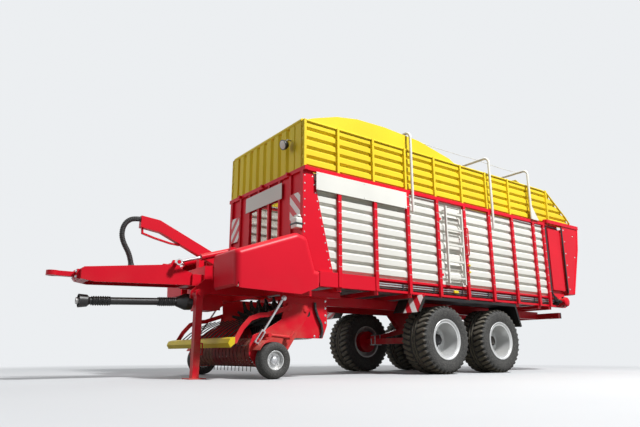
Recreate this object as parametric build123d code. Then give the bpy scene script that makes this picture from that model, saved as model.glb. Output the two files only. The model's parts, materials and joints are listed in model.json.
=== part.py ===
"""Loader wagon with pick-up, feed rotor, raised hay section and dosing rollers, in millimetres.

X points forward, Y left and Z up. The origin is on the ground under the middle of the overall box.
Outlines and places are given from the middle of the tandem axle, and the function ahead moves them there.
A pair such as FOLD is x and z, and a pair that ends in _Z or _Y is the low and the high end of a stretch.
"""

import os
from math import atan2, cos, degrees, hypot, pi, radians, sin, tan

from build123d import *

# Overall reach from the tandem's middle
FRONT_REACH = 6420
REAR_REACH = 3740
TANDEM_X = (REAR_REACH - FRONT_REACH) / 2

# Play between pieces
BEARING_GAP = 0.3

# Running wheels, whose sections are radius and offset from the wheel's middle
TYRE_RADIUS = 537.5
TYRE_WIDTH = 560
TREAD_WIDTH = 450
SHOULDER = 490
SIDEWALL = 410
TYRE_SIDES = 28
LUG_COUNT = 18
LUG_DEEP = 32
LUG_LONG = 62
LUG_WIDE = 165
LUG_SLANT = 22
LUG_OFFSET = 148
RIM_SEAT = 286
RIM_WIDTH = 470
RIM_WALL = 24
RIM_STEP = 12
RIM_DISC = (150, -60)
HUB_CAP = (150, -10)
HUB = 130
HUB_BACK = -140
HUB_FACE = -40
WHEEL_TRACK = 1950
AXLE_SPACING = 1390
AXLE_HALF = 50
AXLE_BACK = 275
SPINDLE = 45
SPINDLE_BACK = 41
DRUM = 190
DRUM_BACK = (260, 150)

# Springs and hangers
SPRING_HIGH = 190
SPRING_SIDE = 5
SPRING_FOOT = 130
HANGER_TOP = 360

# Box
BOX_FRONT = 3440
FIRST_POST = 2800
POST_PITCH = 705
POST_COUNT = 8
REAR_POST = -2490
POST_WIDTH = 60
WALL_OUT = 1120
POST_OUT = 1165
SILL_IN = 1040
SILL_LOW = 1225
SILL_HIGH = 1430
SILL_LIP = 35
SILL_WALL = 12
SILL_FRONT = 3160
RAIL_LOW = 2870
RAIL_HIGH = 2930
RIB_PITCH = 160
RIB_DEEP = 34
SHEET = 6

# Front wall with its boards
FRONT_WALL_DEEP = 60
FRONT_WALL_HALF = 1060
FRONT_BAR_HALF = 25
FRONT_BARS_Y = (160, 470, 780)
SLOTS_Y = (-315, 0, 315)
SLOT_HALF = 120
SLOT_Z = (1980, 2560)
STUBS_Y = (-750, 0, 750)
STUB = 26
STUB_REACH = 45
GUSSET_FOOT = 2915
GUSSET_TOP = 3270
GUSSET_PLATE = 10
SIDE_BOARD_FRONT = 3235
SIDE_BOARD_LOW = 2600
BOARD_PLATE = 8
FRONT_BOARD_HALF = 560
FRONT_BOARD_Z = (2570, 2820)
WALL_HAZARD_Y = (790, 1060)
WALL_HAZARD_Z = (2140, 2560)
HAZARD_PLATE = 5
CANISTER_DEEP = 115
CANISTER_Y = (985, 1135)
CANISTER_Z = (2005, 2195)

# Side door with its ladder
DOOR_BAY = 3
DOOR_PLAY = 6
DOOR_FRAME = 45
DOOR_DEEP = 38
DOOR_PIN = 10
DOOR_KNUCKLE = 18
DOOR_HINGE_BACK = 28
DOOR_HINGE_OUT = 22
DOOR_KNUCKLES_Z = (1640, 2600)
LADDER_BACK = (90, 150)
LADDER_OUT = (40, 80)
LADDER_Z = (1450, 2790)
LADDER_RAIL = 14
RUNGS = 5
RUNG_LOW = 1540
RUNG_PITCH = 280
RUNG = 30

# Raised hay section
HAY_OUT = 1105
HAY_STAKE_OUT = 1140
HAY_STAKE_HALF = 20
HAY_TOP = 3665
HAY_RIB_PITCH = 147
HAY_FRONT_PITCH = 220
HAY_CORNER = 150
HAY_FRONT_RAIL = 36
HAY_REAR = -3580
HAY_TAIL = [(-3580, 3050), (-3430, 3190), (-2790, 3640)]
HUMP = [(3400, 3660), (3250, 3725), (2800, 3870), (2390, 3938), (1800, 3950), (1000, 3900), (230, 3740),
        (60, 3660)]
HUMP_PLATE = 10
GABLE = -2200
GABLE_PLATE = 20
GABLE_Z = (3080, 3600, 3880, 3950)
GABLE_BEND_Y = 820
BOW_TUBE = 24
BOW_TOP = 3990
BOW_BEND = 100
BOWS = [(1300, 2560), (-800, 2560), (-2060, 2930)]
BOW_GUSSET = (240, 330)
BOW_GUSSET_PLATE = 8

# Frame under the floor
RAIL_IN = 440
RAIL_WIDE = 100
BEAM_LOW = 1020
BEAM_REAR = -2950
BEARER_LOW = 1165
BEARER_WIDE = 80
REAR_BEAM_DEEP = 80
REAR_BEAM_HIGH = 110
REAR_BEAM_HALF = 1000

# Front frame with the drawbar's head
SIDE_BEAM_Z = (1085, BEARER_LOW)
SIDE_BEAM_Y = (925, 1020)
SIDE_BEAM_REAR = 2700
OUTRIGGER = (3630, 3690)
OUTRIGGER_LOW = 1100
HEAD = (4380, 4490)
HEAD_HALF = 290
HEAD_Z = (1130, 1490)
STRUT_WIDE = 100
STRUT_REAR_Y = 440
EAR_GAP = 6
EAR_PLATE = 30

# Floor with its scraper chains
FLOOR_LOW = 1300
FLOOR_PLATE = 25
FLOOR_INSET = 60
CHAIN_LOOP = 50
CHAIN_THICK = 20
CHAIN_WIDE = 40
CHAIN_STEPS = 6
CHAINS_Y = (60, 960)
SLAT_HIGH = 18
SLAT_WIDE = 50
SLAT_SUNK = 4
SLAT_OVER = 25
SLAT_PITCH = 470
SLAT_INSET = 80
FLOOR_FRONT = 2700
FLOOR_REAR = -3020

# Drawbar, hitch eye and cylinders
FOLD = (4575, 1285)
FOLD_PIN = 35
DRAWBAR = [(6030, 1350), (4950, 1475), (4650, 1390), (4575, 1350), (4518, 1310), (4518, 1260), (4560, 1222),
           (5900, 1174), (6060, 1200), (6060, 1330)]
DRAWBAR_CHANNEL = [(5960, 1330), (4960, 1455), (4700, 1380), (4700, 1000), (5960, 1000)]
DRAWBAR_HALF = 200
DRAWBAR_WALL = 15
CYLINDER_Y = 310
CYLINDER_REAR = (4120, 1730)
CYLINDER_FRONT = (4880, 1500)
CYLINDER_PIN = 25
CYLINDER_BORE = 45
CYLINDER_EYE = 50
CYLINDER_EYE_WIDE = 44
CYLINDER_ROD = 20
ROD_EYE = 45
ROD_EYE_PLAY = 2.5
BARREL_REACH = (30, 470)
BARREL_FLOOR = 190
ROD_FOOT = 232
BRACKET_GAP = 30
BRACKET_PLATE = 25
LUG_PLATE = 30
EYE_RADIUS = 75
EYE_BORE = 20
EYE_Z = 1265
EYE_THICK = 60
EYE_NECK = 45
EYE_FLANGE = (6060, 6092)
EYE_FLANGE_HALF = (120, 60)

# Gearbox and drive shaft, whose sections are radius and distance from its joint
GEARBOX = [(4130, 1130), (4130, 965), (4225, 895), (4480, 895), (4480, 1130)]
GEARBOX_HALF = 150
SHAFT_JOINT = (4620, 1010)
SHAFT_DROOP = 2.5
SHAFT_LENGTH = 1430
SHAFT_GUARD = 48
SHAFT_CORE = 40
SHAFT_CROSS = 18
FORK_IN = 50
FORK_OUT = 64
FORK_HALF = 28
FORK_BACK = 75
FORK_PLATE = 15
CONE = (112, 150)
CONE_WALL = 6
YOKE = 42
YOKE_LONG = 140
SPLINE_BORE = 17.5
SPLINE_DEEP = 80

# Stand
STAND = (4645, 1078)
STAND_Y = 480
STAND_TUBE = 90
STAND_PIN = 35
STAND_EYE = 60
STAND_PLATE = 30
FOOT = 230
FOOT_PLATE = 12
HANDLE = 8
HANDLE_OUT = 45
HANDLE_Z = (300, 440)

# Hose arm and the hose bundle's route in x and z
ARM = [(4250, 1560), (4400, 1628), (4400, 1490), (4480, 1490), (4480, 1665), (5060, 1930), (5340, 1970),
       (5340, 2130), (5080, 2100), (4250, 1725)]
ARM_HALF = 45
ARM_HANGER = [(5310, 1985), (5300, 1895), (5130, 1848), (4900, 1800), (4770, 1790)]
ARM_HANGER_THICK = 22
ARM_HANGER_HALF = 20
HOSE = 25
HOSE_ROUTE = [(5340, 2085), (5435, 2085), (5523, 2028), (5570, 1923), (5562, 1773)]
HOSE_END_X = 5410
HOSE_RISE = 140
HOSE_ARC_SHARE = 0.45

# Hoods and the fairings behind them, the outline's points with the rounding of each corner
HOOD_OUT = 1202
HOOD_IN = 560
HOOD_WALL = 12
HOOD_ROUND = 84
HOOD_SHARP_BELOW = 1300
HOOD = [(4420, 1108, 0), (4472, 1160, 0), (4490, 1590, 60), (3560, 1930, 130), (3390, 1880, 90),
        (3250, 1440, 0), (3162, 1430, 0), (3162, 1215, 0), (3500, 1080, 0)]
HOOD_UNDERSIDE = [(3150, 1000), (4440, 1000), (4440, 1180), (3515, 1150), (3190, 1260), (3150, 1260)]
HOOD_SILL_PLAY = 6
FAIRING_FRONT = 3155
FAIRING_PLATE = 30
FAIRING_DROP = 5

# Feed rotor
ROTOR = (3200, 850)
ROTOR_TIP = 310
ROTOR_DRUM = 130
ROTOR_DRUM_HALF = 885
ROTOR_STARS = 12
ROTOR_ARMS = 6
ROTOR_TWIST = 12
ROTOR_PITCH = 140
ROTOR_STAR_HALF = 10
ROTOR_STUB = 40
HOUSING = [(2870, BEARER_LOW), (3620, BEARER_LOW), (3590, 780), (3420, 520), (2950, 520), (2870, 700)]
HOUSING_OUT = 925
HOUSING_PLATE = 20
TROUGH_GAP = 25
TROUGH_PLATE = 10
TROUGH_TURN = (-70, -200)

# Pick-up
PICKUP_PIVOT = (3260, 900)
PICKUP_PIN = 30
PICKUP_IN = 932
PICKUP_OUT = 950
PICKUP_SIDE = [(3190, 900), (3230, 962), (3540, 985), (3600, 930), (3640, 760), (3900, 610), (4070, 545),
               (4120, 430), (4125, 300), (4000, 135), (3780, 130), (3560, 330), (3400, 560), (3220, 830)]
PICKUP_TUBE = (3570, 430)
PICKUP_TUBE_RADIUS = 40
REEL = (3930, 330)
REEL_TIP = 255
REEL_TUBE = 50
REEL_BARS = 4
REEL_BAR = 14
REEL_BAR_AT = 115
REEL_HALF = 905
REEL_STUB = 20
REEL_DISC = 140
REEL_DISC_Y = (892, 902)
TINE = 7
TINE_LAG = 25
BAND_OUT = 185
BAND_SHEET = 5
BAND_PITCH = 108
BAND_WIDE = 86
BAND_COUNT = 17
BAND_TURN = 110
GAUGE = (3850, 230)
GAUGE_WIDTH = 170
GAUGE_Y = 1085
GAUGE_SIDES = 24
GAUGE_SEAT = 120
GAUGE_RIM_HALF = 70
GAUGE_SPINDLE = 20
GAUGE_HUB = 40
GAUGE_ARM = [(3520, 590), (3580, 520), (3900, 545)]
GAUGE_ARM_Y = 1062
GAUGE_ARM_TUBE = 22
GAUGE_ARM_BOSS = 27

# Crop press on the pick-up
PRESS_PIVOT = (3541, 921)
PRESS_PIN = 22
PRESS_BOSS = 42
PRESS_IN = 958
PRESS_OUT = 974
PRESS_TUBE = (4335, 470)
PRESS_TUBE_RADIUS = 36
PRESS_ARM = [PRESS_PIVOT, (3880, 810), (3990, 800), (4130, 750), (4240, 630), PRESS_TUBE]
PRESS_ARM_WIDE = 62
PRESS_TINE = [(4325, 490), (4190, 605), (4060, 690), (3840, 790)]
PRESS_TINES = 12
PRESS_TINE_PITCH = 150
PRESS_TINE_THICK = 14
BAR_PATH = [(4376, 430), (4376, 508), (4435, 492), (4458, 440), (4425, 388)]
BAR_SHEET = 9
BAR_OVER = 60
BAR_END_PLATE = 6

# Links that hold the pick-up
LINK_TOP = (3660, 1035)
LINK_LOW = (4030, 490)
LINK_PIN = 15
LINK_IN = 1000
LINK_OUT = 1030
LINK_BAR = 22
LINK_EYE = 32
LINK_TAB_GAP = 3
LINK_TAB_PLATE = 12
LINK_TAB_HALF = 38
SLOT_PLAY = 5.5
SLOT_UP = 100
SLOT_DOWN = 25
SLOT_RIM = 35
LOW_PIN = LINK_PIN - 2

# Rear end
REAR_WALL_IN = 1085
REAR_WALL_OUT = 1115
REAR_WALL_END = -3060
REAR_TOP_BEAM = (80, 90)
DOSING = [(-2830, 1760), (-2830, 2330)]
DOSING_TIP = 230
DOSING_CORE = 110
DOSING_HALF = 1065
DOSING_STUB = 30
DOSING_BLADES = 6
DOSING_TEETH = 9
DOSING_PITCH = 240
DOSING_STAGGER = 30
DOSING_TOOTH = (12, 50)
CHAIN_GUARD_X = (-3050, -2620)
CHAIN_GUARD_Z = (1560, 2820)
FLOOR_DRIVE = (-2900, 1330)
FLOOR_DRIVE_RADIUS = 90
FLOOR_DRIVE_LONG = 130
GATE_PIVOT = (-2600, 2962)
GATE_PIN = 28
GATE_IN = 1170
GATE_OUT = 1205
GATE_GAP = 8
GATE_ARM_Z = (2925, 2998)
GATE_EAR_FOOT = 60
GATE_FRONT = -3110
GATE_KNEE = (-3660, 2480)
GATE_TIP = (-3340, 1500)
GATE_SIDE_PLATE = 20
GATE_WALL = 30

# Fenders and lamps
FENDER_IN = 690
FENDER_OUT = 1275
FENDER_SHEET = 6
FENDER_LIP = 44
FENDER_LIP_WIDE = 10
FENDER_RISE = BEARER_LOW - FENDER_SHEET / 2
FENDER = [(1350, 950), (1220, FENDER_RISE), (-1120, FENDER_RISE), (-1250, 790)]
FENDER_BOARD_HIGH = 282
FENDER_BOARD_DROP = 10
FENDER_BOARD_Y = (340, 14)
LAMP_DEEP = 30
LAMP_Y = (760, 990)
LAMP_Z = (BEAM_LOW + 5, BEAM_LOW + 105)


def ahead(point):
    """Point given from the tandem's middle, as one in the shared frame."""
    return (TANDEM_X + point[0], *point[1:])


def span(x, y, z):
    """Box between two limits along each axis, its x limits taken from the tandem's middle."""
    middle = Pos(TANDEM_X + sum(x) / 2, sum(y) / 2, sum(z) / 2)
    return middle * Box(abs(x[1] - x[0]), abs(y[1] - y[0]), abs(z[1] - z[0]))


def plate_y(points, y):
    """Plate whose outline lies in XZ, between two values of y."""
    outline = make_face(Polyline(*[ahead(p) for p in points], close=True))
    seat = Plane((0, y[0], 0), x_dir=(1, 0, 0), z_dir=(0, -1, 0))
    return extrude(seat * outline, amount=y[1] - y[0], dir=(0, 1, 0))


def plate_x(points, x):
    """Plate whose outline lies in YZ, between two values of x from the tandem's middle."""
    seat = Plane((TANDEM_X + x[0], 0, 0), x_dir=(0, 1, 0), z_dir=(1, 0, 0))
    outline = seat * make_face(Polyline(*points, close=True))
    return extrude(outline, amount=x[1] - x[0], dir=(1, 0, 0))


def plate_z(points, z):
    """Plate whose outline lies in XY, between two heights."""
    outline = Pos(0, 0, z[0]) * make_face(Polyline(*[ahead(p) for p in points], close=True))
    return extrude(outline, amount=z[1] - z[0], dir=(0, 0, 1))


def rod_y(centre, radius, y):
    """Round bar across the wagon."""
    x, z = ahead(centre)
    return Pos(x, sum(y) / 2, z) * Rot(90, 0, 0) * Cylinder(radius, abs(y[1] - y[0]))


def rod(start, end, radius):
    """Round bar between two points given from the tandem's middle."""
    a, b = Vector(*ahead(start)), Vector(*ahead(end))
    lower_end = (Align.CENTER, Align.CENTER, Align.MIN)
    return Plane(a, z_dir=b - a) * Cylinder(radius, (b - a).length, align=lower_end)


def spun(points):
    """Body turned about Y from points of radius and offset."""
    return revolve(make_face(Polyline(*points, close=True)), axis=Axis.Y)


def faceted(section, sides):
    """Ring of flat faces about Y, from a closed section of radius and offset."""
    rings = []
    for k in range(sides):
        turn = 2 * pi * k / sides
        rings.append([(r * cos(turn), y, r * sin(turn)) for r, y in section])
    faces = []
    for here, there in zip(rings, rings[1:] + rings[:1]):
        for i in range(len(section)):
            faces.append(Face(Wire.make_polygon([here[i - 1], here[i], there[i], there[i - 1]])))
    return Solid(Shell(faces))


def both_ends(half):
    """Closed section from its half, which is mirrored about the middle of the wheel."""
    return [(r, -y) for r, y in half] + [(r, y) for r, y in reversed(half)]


def pair(shape):
    """Left piece and its mirror image on the right."""
    return [shape, mirror(shape, about=Plane.XZ)]


def both(half):
    """Stretch across the wagon, as far to the right as to the left."""
    return (-half, half)


def strip(path, thick):
    """Outline of a bent strip that follows a path, with its thickness half on each side."""
    normals = []
    for (x0, z0), (x1, z1) in zip(path, path[1:]):
        length = hypot(x1 - x0, z1 - z0)
        normals.append(((z0 - z1) / length, (x1 - x0) / length))
    left, right = [], []
    for (x, z), (ax, az), (bx, bz) in zip(path, normals[:1] + normals, normals + normals[-1:]):
        reach = thick / 2 / (1 + ax * bx + az * bz)
        left.append((x + (ax + bx) * reach, z + (az + bz) * reach))
        right.append((x - (ax + bx) * reach, z - (az + bz) * reach))
    return left + right[::-1]


def polar(centre, radius, turn):
    """Point at a radius and an angle in degrees, from forward to up."""
    return (centre[0] + radius * cos(radians(turn)), centre[1] + radius * sin(radians(turn)))


def arc_points(centre, radius, start, end, steps):
    """Points along an arc in XZ, in degrees from forward to up."""
    return [polar(centre, radius, start + (end - start) * i / steps) for i in range(steps + 1)]


def ribs(low, high, out, deep, pitch):
    """Outline of a ribbed sheet: its face from the low to the high edge, then back along the other face."""
    count = round((high - low) / pitch)
    step = (high - low) / count
    face = []
    for i in range(count):
        foot = low + i * step
        face += [(out - deep, foot), (out - deep, foot + 0.16 * step)]
        face += [(out, foot + 0.32 * step), (out, foot + 0.84 * step)]
    face.append((out - deep, high))
    return face + [(y - SHEET, z) for y, z in reversed(face)]


def in_row(count, pitch):
    """Places of a row of equal pieces, centred on the wagon's middle."""
    return [(i - (count - 1) / 2) * pitch for i in range(count)]


def upper_edge(edge):
    """Whether an edge of a hood's face is one of those that are rounded."""
    return edge.center().Z > HOOD_SHARP_BELOW


def post_x(i):
    """Middle of a side post, counted from the front."""
    return FIRST_POST - i * POST_PITCH


POSTS = [post_x(i) for i in range(POST_COUNT)] + [REAR_POST]
POST_HALF = POST_WIDTH / 2
DOOR_FRONT = post_x(DOOR_BAY) - POST_HALF
DOOR_REAR = post_x(DOOR_BAY + 1) + POST_HALF
nodes = {}

# Tyres with slanted lugs, and rims
carcass = TYRE_RADIUS - LUG_DEEP
bead = RIM_SEAT / cos(pi / TYRE_SIDES)
tyre_half = [(bead, RIM_WIDTH / 2), (SIDEWALL, TYRE_WIDTH / 2), (SHOULDER, TYRE_WIDTH / 2),
             (carcass, TREAD_WIDTH / 2)]
tyre = faceted(both_ends(tyre_half), TYRE_SIDES)
lug_reach = (LUG_LONG * cos(radians(LUG_SLANT)) + LUG_WIDE * sin(radians(LUG_SLANT))) / 2
lug_step = 180 / LUG_COUNT
lug_tip = (TYRE_RADIUS - lug_reach * sin(radians(lug_step / 2))) / cos(radians(lug_step / 2))
lug = Box(2 * LUG_DEEP, LUG_WIDE, LUG_LONG, align=(Align.MAX, Align.CENTER, Align.CENTER))
lugs = []
for i in range(2 * LUG_COUNT):
    side = 1 if i % 2 else -1
    turn = Rot(0, 90 + (i + 0.5) * lug_step, 0)
    lugs.append(turn * Pos(lug_tip, side * LUG_OFFSET, 0) * Rot(side * LUG_SLANT, 0, 0) * lug)
tyre = tyre + lugs
hub_bore = SPINDLE + BEARING_GAP
barrel_in = RIM_SEAT - RIM_WALL
rim_half = RIM_WIDTH / 2
rim = spun([(RIM_SEAT, -rim_half), (RIM_SEAT, rim_half), (barrel_in, rim_half),
            (barrel_in - RIM_STEP, rim_half / 2), (barrel_in - RIM_STEP, HUB_FACE), RIM_DISC, HUB_CAP,
            (0, HUB_CAP[1]), (0, HUB_FACE), (hub_bore, HUB_FACE), (hub_bore, HUB_BACK), (HUB, HUB_BACK),
            (HUB, RIM_DISC[1] - 20), (barrel_in, RIM_DISC[1] - 10), (barrel_in, -rim_half)])
for row, axle_x in (("front", AXLE_SPACING / 2), ("rear", -AXLE_SPACING / 2)):
    seat = Pos(TANDEM_X + axle_x, WHEEL_TRACK / 2, TYRE_RADIUS)
    for side, tyre_piece, rim_piece in zip(("left", "right"), pair(seat * tyre), pair(seat * rim)):
        nodes[f"tyre_{row}_{side}"] = [tyre_piece]
        nodes[f"rim_{row}_{side}"] = [rim_piece]

# Axles, springs and hangers
SPRING_SEAT = TYRE_RADIUS + AXLE_HALF
half_axle = WHEEL_TRACK / 2 - AXLE_BACK
spindle_end = WHEEL_TRACK / 2 - SPINDLE_BACK
nodes["axles"] = []
for axle_x in (AXLE_SPACING / 2, -AXLE_SPACING / 2):
    axle_z = (TYRE_RADIUS - AXLE_HALF, SPRING_SEAT)
    axle = span((axle_x - AXLE_HALF, axle_x + AXLE_HALF), both(half_axle), axle_z)
    axle += rod_y((axle_x, TYRE_RADIUS), SPINDLE, both(spindle_end))
    axle += pair(rod_y((axle_x, TYRE_RADIUS), DRUM, [WHEEL_TRACK / 2 - back for back in DRUM_BACK]))
    nodes["axles"].append(axle)
spring_end = AXLE_SPACING / 2 + 85
spring_half = [(spring_end, SPRING_SEAT), (AXLE_SPACING / 2 - 85, SPRING_SEAT), (0, SPRING_SEAT + 110)]
spring_top = [(-SPRING_FOOT, SPRING_SEAT + SPRING_HIGH), (SPRING_FOOT, SPRING_SEAT + SPRING_HIGH),
              (500, SPRING_SEAT + 85), (spring_end, SPRING_SEAT + 45)]
spring = spring_half + [(-x, z) for x, z in spring_half[1::-1]]
spring += [(-spring_end, SPRING_SEAT + 45), (-500, SPRING_SEAT + 85)] + spring_top
nodes["springs"] = pair(plate_y(spring, (RAIL_IN + SPRING_SIDE, RAIL_IN + RAIL_WIDE - SPRING_SIDE)))
hanger = [(-HANGER_TOP, BEAM_LOW), (-SPRING_FOOT, SPRING_SEAT + SPRING_HIGH),
          (SPRING_FOOT, SPRING_SEAT + SPRING_HIGH), (HANGER_TOP, BEAM_LOW)]
nodes["spring_hangers"] = pair(plate_y(hanger, (RAIL_IN, RAIL_IN + RAIL_WIDE)))

# Main frame: two long rails, with bearers across them and a beam at the rear
rail_y = (RAIL_IN, RAIL_IN + RAIL_WIDE)
nodes["main_frame"] = pair(span((BEAM_REAR, FIRST_POST), rail_y, (BEAM_LOW, BEARER_LOW)))
nodes["cross_bearers"] = []
for x in POSTS:
    bearer_x = (x - BEARER_WIDE / 2, x + BEARER_WIDE / 2)
    nodes["cross_bearers"].append(span(bearer_x, both(WALL_OUT), (BEARER_LOW, SILL_LOW)))
rear_beam_x = (BEAM_REAR - REAR_BEAM_DEEP, BEAM_REAR)
rear_beam_z = (BEAM_LOW, BEAM_LOW + REAR_BEAM_HIGH)
nodes["cross_bearers"].append(span(rear_beam_x, both(REAR_BEAM_HALF), rear_beam_z))

# Front frame with the drawbar's head
front = span(OUTRIGGER, both(HOOD_OUT - HOOD_WALL), (OUTRIGGER_LOW, BEARER_LOW))
front += pair(span((SIDE_BEAM_REAR, OUTRIGGER[1]), SIDE_BEAM_Y, SIDE_BEAM_Z))
strut = [(OUTRIGGER[0], STRUT_REAR_Y), (OUTRIGGER[0], STRUT_REAR_Y + STRUT_WIDE),
         (HEAD[1], HEAD_HALF), (HEAD[1], HEAD_HALF - STRUT_WIDE)]
front += pair(plate_z(strut, (OUTRIGGER_LOW, SILL_LOW)))
front += span(HEAD, both(HEAD_HALF), HEAD_Z)
ear_y = (DRAWBAR_HALF + EAR_GAP, DRAWBAR_HALF + EAR_GAP + EAR_PLATE)
front += pair(span((HEAD[1], FOLD[0] + 65), ear_y, (FOLD[1] - 75, FOLD[1] + 85)))
front += rod_y(FOLD, FOLD_PIN, both(ear_y[1] - 10))
foot_x, foot_z = CYLINDER_REAR
bracket = [(foot_x - 60, SILL_LOW), (foot_x + 100, SILL_LOW), (foot_x + 45, foot_z + 45),
           (foot_x - 45, foot_z + 45)]
bracket_in = CYLINDER_Y + CYLINDER_EYE_WIDE / 2 + BRACKET_GAP
front += pair(plate_y(bracket, (bracket_in, bracket_in + BRACKET_PLATE)))
front += rod_y(CYLINDER_REAR, CYLINDER_PIN, both(bracket_in + BRACKET_PLATE - 7))
stand_arm = [(HEAD[0], HEAD_Z[0]), (STAND[0] - 30, STAND[1] - 60), (STAND[0] + 45, STAND[1] - 45),
             (STAND[0] + 45, STAND[1] + 50), (HEAD[1], 1300), (HEAD[0], 1300)]
front += plate_y(stand_arm, (HEAD_HALF, HEAD_HALF + STAND_PLATE))
front += rod_y(STAND, STAND_PIN, (HEAD_HALF + STAND_PLATE, STAND_Y + 70))
tab_y = (LINK_IN - LINK_TAB_GAP - LINK_TAB_PLATE, LINK_IN - LINK_TAB_GAP)
tab_x = (LINK_TOP[0] - LINK_TAB_HALF, LINK_TOP[0] + LINK_TAB_HALF)
front += pair(span(tab_x, tab_y, (LINK_TOP[1] - 35, OUTRIGGER_LOW)))
front += pair(rod_y(LINK_TOP, LINK_PIN, (tab_y[0] + 5, LINK_OUT + 4)))
nodes["front_frame"] = [front]

# Floor and scraper chains
nodes["load_floor"] = [span((FLOOR_REAR + FLOOR_INSET, FLOOR_FRONT - FLOOR_INSET), both(SILL_IN),
                            (FLOOR_LOW, FLOOR_LOW + FLOOR_PLATE))]
chain_inner = CHAIN_LOOP - CHAIN_THICK
for x in (FLOOR_FRONT, FLOOR_REAR):
    nodes["load_floor"].append(rod_y((x, FLOOR_LOW), chain_inner - BEARING_GAP, both(SILL_IN)))


def loop_outline(radius):
    """Outline of a chain run around the floor's two shafts."""
    front_end = arc_points((FLOOR_FRONT, FLOOR_LOW), radius, -90, 90, CHAIN_STEPS)
    return front_end + arc_points((FLOOR_REAR, FLOOR_LOW), radius, 90, 270, CHAIN_STEPS)


nodes["scraper_chains"] = []
for side in (1, -1):
    scraper = Part()
    for y in CHAINS_Y:
        loop_y = (side * y - CHAIN_WIDE / 2, side * y + CHAIN_WIDE / 2)
        scraper += plate_y(loop_outline(CHAIN_LOOP), loop_y)
        scraper -= plate_y(loop_outline(chain_inner / cos(pi / 2 / CHAIN_STEPS)), loop_y)
    slat_y = (side * (CHAINS_Y[0] - SLAT_OVER), side * (CHAINS_Y[1] + SLAT_OVER))
    slat_rise = (CHAIN_LOOP - SLAT_SUNK, CHAIN_LOOP + SLAT_HIGH)
    for i in range(int((FLOOR_FRONT - FLOOR_REAR - 2 * SLAT_INSET) / SLAT_PITCH) + 1):
        x = FLOOR_FRONT - SLAT_INSET - i * SLAT_PITCH
        for sign in (1, -1):
            slat_z = [FLOOR_LOW + sign * rise for rise in slat_rise]
            scraper += span((x - SLAT_WIDE / 2, x + SLAT_WIDE / 2), slat_y, slat_z)
    nodes["scraper_chains"].append(scraper)

# Sills, posts, rails and side sheets
sill_section = [(SILL_IN, SILL_LOW), (WALL_OUT, SILL_LOW), (WALL_OUT, SILL_LOW + SILL_LIP),
                (SILL_IN + SILL_WALL, SILL_LOW + SILL_LIP), (SILL_IN + SILL_WALL, SILL_HIGH - SILL_LIP),
                (WALL_OUT, SILL_HIGH - SILL_LIP), (WALL_OUT, SILL_HIGH), (SILL_IN, SILL_HIGH)]
wall_front = BOX_FRONT - FRONT_WALL_DEEP
wall_rear = REAR_POST - POST_HALF
nodes["side_rails"] = pair(plate_x(sill_section, (REAR_WALL_END, SILL_FRONT)))
nodes["side_rails"] += pair(span((wall_rear, wall_front), (HAY_OUT, POST_OUT), (RAIL_LOW, RAIL_HIGH)))
rear_top = (RAIL_HIGH - REAR_TOP_BEAM[1], RAIL_HIGH)
rear_top_x = (REAR_WALL_END, REAR_WALL_END + REAR_TOP_BEAM[0])
nodes["side_rails"].append(span(rear_top_x, both(REAR_WALL_IN), rear_top))
nodes["side_posts"] = []
for x in POSTS:
    side_post = span((x - POST_HALF, x + POST_HALF), (WALL_OUT, POST_OUT), (SILL_LOW, RAIL_LOW))
    nodes["side_posts"] += pair(side_post)
wall_section = ribs(SILL_HIGH, RAIL_LOW, WALL_OUT, RIB_DEEP, RIB_PITCH)
nodes["side_sheets"] = [plate_x(wall_section, (DOOR_FRONT, wall_front)),
                        plate_x(wall_section, (wall_rear, DOOR_REAR)),
                        mirror(plate_x(wall_section, (wall_rear, wall_front)), about=Plane.XZ)]

# Side door with its ladder
DOOR_HINGE = (DOOR_FRONT - DOOR_HINGE_BACK, WALL_OUT + DOOR_HINGE_OUT)
door_x = (DOOR_REAR + DOOR_PLAY, DOOR_FRONT - DOOR_PLAY)
door_z = (SILL_HIGH + DOOR_PLAY, RAIL_LOW - DOOR_PLAY)
door_face = WALL_OUT - 2
door = span(door_x, (door_face - DOOR_DEEP, door_face), door_z)
door -= span((door_x[0] + DOOR_FRAME, door_x[1] - DOOR_FRAME), (0, POST_OUT),
             (door_z[0] + DOOR_FRAME + 10, door_z[1] - DOOR_FRAME - 10))
panel_z = (door_z[0] + DOOR_FRAME + 5, door_z[1] - DOOR_FRAME - 5)
panel_x = (door_x[0] + DOOR_FRAME - 5, door_x[1] - DOOR_FRAME + 5)
door += plate_x(ribs(*panel_z, door_face - 3, RIB_DEEP - 8, RIB_PITCH), panel_x)
hinge_post = 2 * DOOR_BAY
for z in DOOR_KNUCKLES_Z:
    hinge_seat = Pos(TANDEM_X + DOOR_HINGE[0], DOOR_HINGE[1], z)
    knuckle = hinge_seat * Cylinder(DOOR_KNUCKLE, 60)
    knuckle += span((DOOR_HINGE[0] - 60, DOOR_HINGE[0]), (door_face, DOOR_HINGE[1]), (z - 30, z + 30))
    door += knuckle - hinge_seat * Cylinder(DOOR_PIN + BEARING_GAP, 80)
    pin = hinge_seat * Pos(0, 0, -20) * Cylinder(DOOR_PIN, 100)
    pin += span((DOOR_HINGE[0] - 12, DOOR_FRONT), (WALL_OUT + 2, POST_OUT), (z - 70, z - 32))
    nodes["side_posts"][hinge_post] += pin
nodes["side_door"] = [door]
ladder_x = (DOOR_REAR + LADDER_BACK[0], DOOR_FRONT - LADDER_BACK[1])
ladder_y = (WALL_OUT + LADDER_OUT[0], WALL_OUT + LADDER_OUT[1])
ladder = Part()
for x in ladder_x:
    ladder += span((x - LADDER_RAIL, x + LADDER_RAIL), ladder_y, LADDER_Z)
for i in range(RUNGS):
    rung_low = RUNG_LOW + i * RUNG_PITCH
    ladder += span(ladder_x, (ladder_y[0] + 5, ladder_y[1] - 5), (rung_low, rung_low + RUNG))
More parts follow.
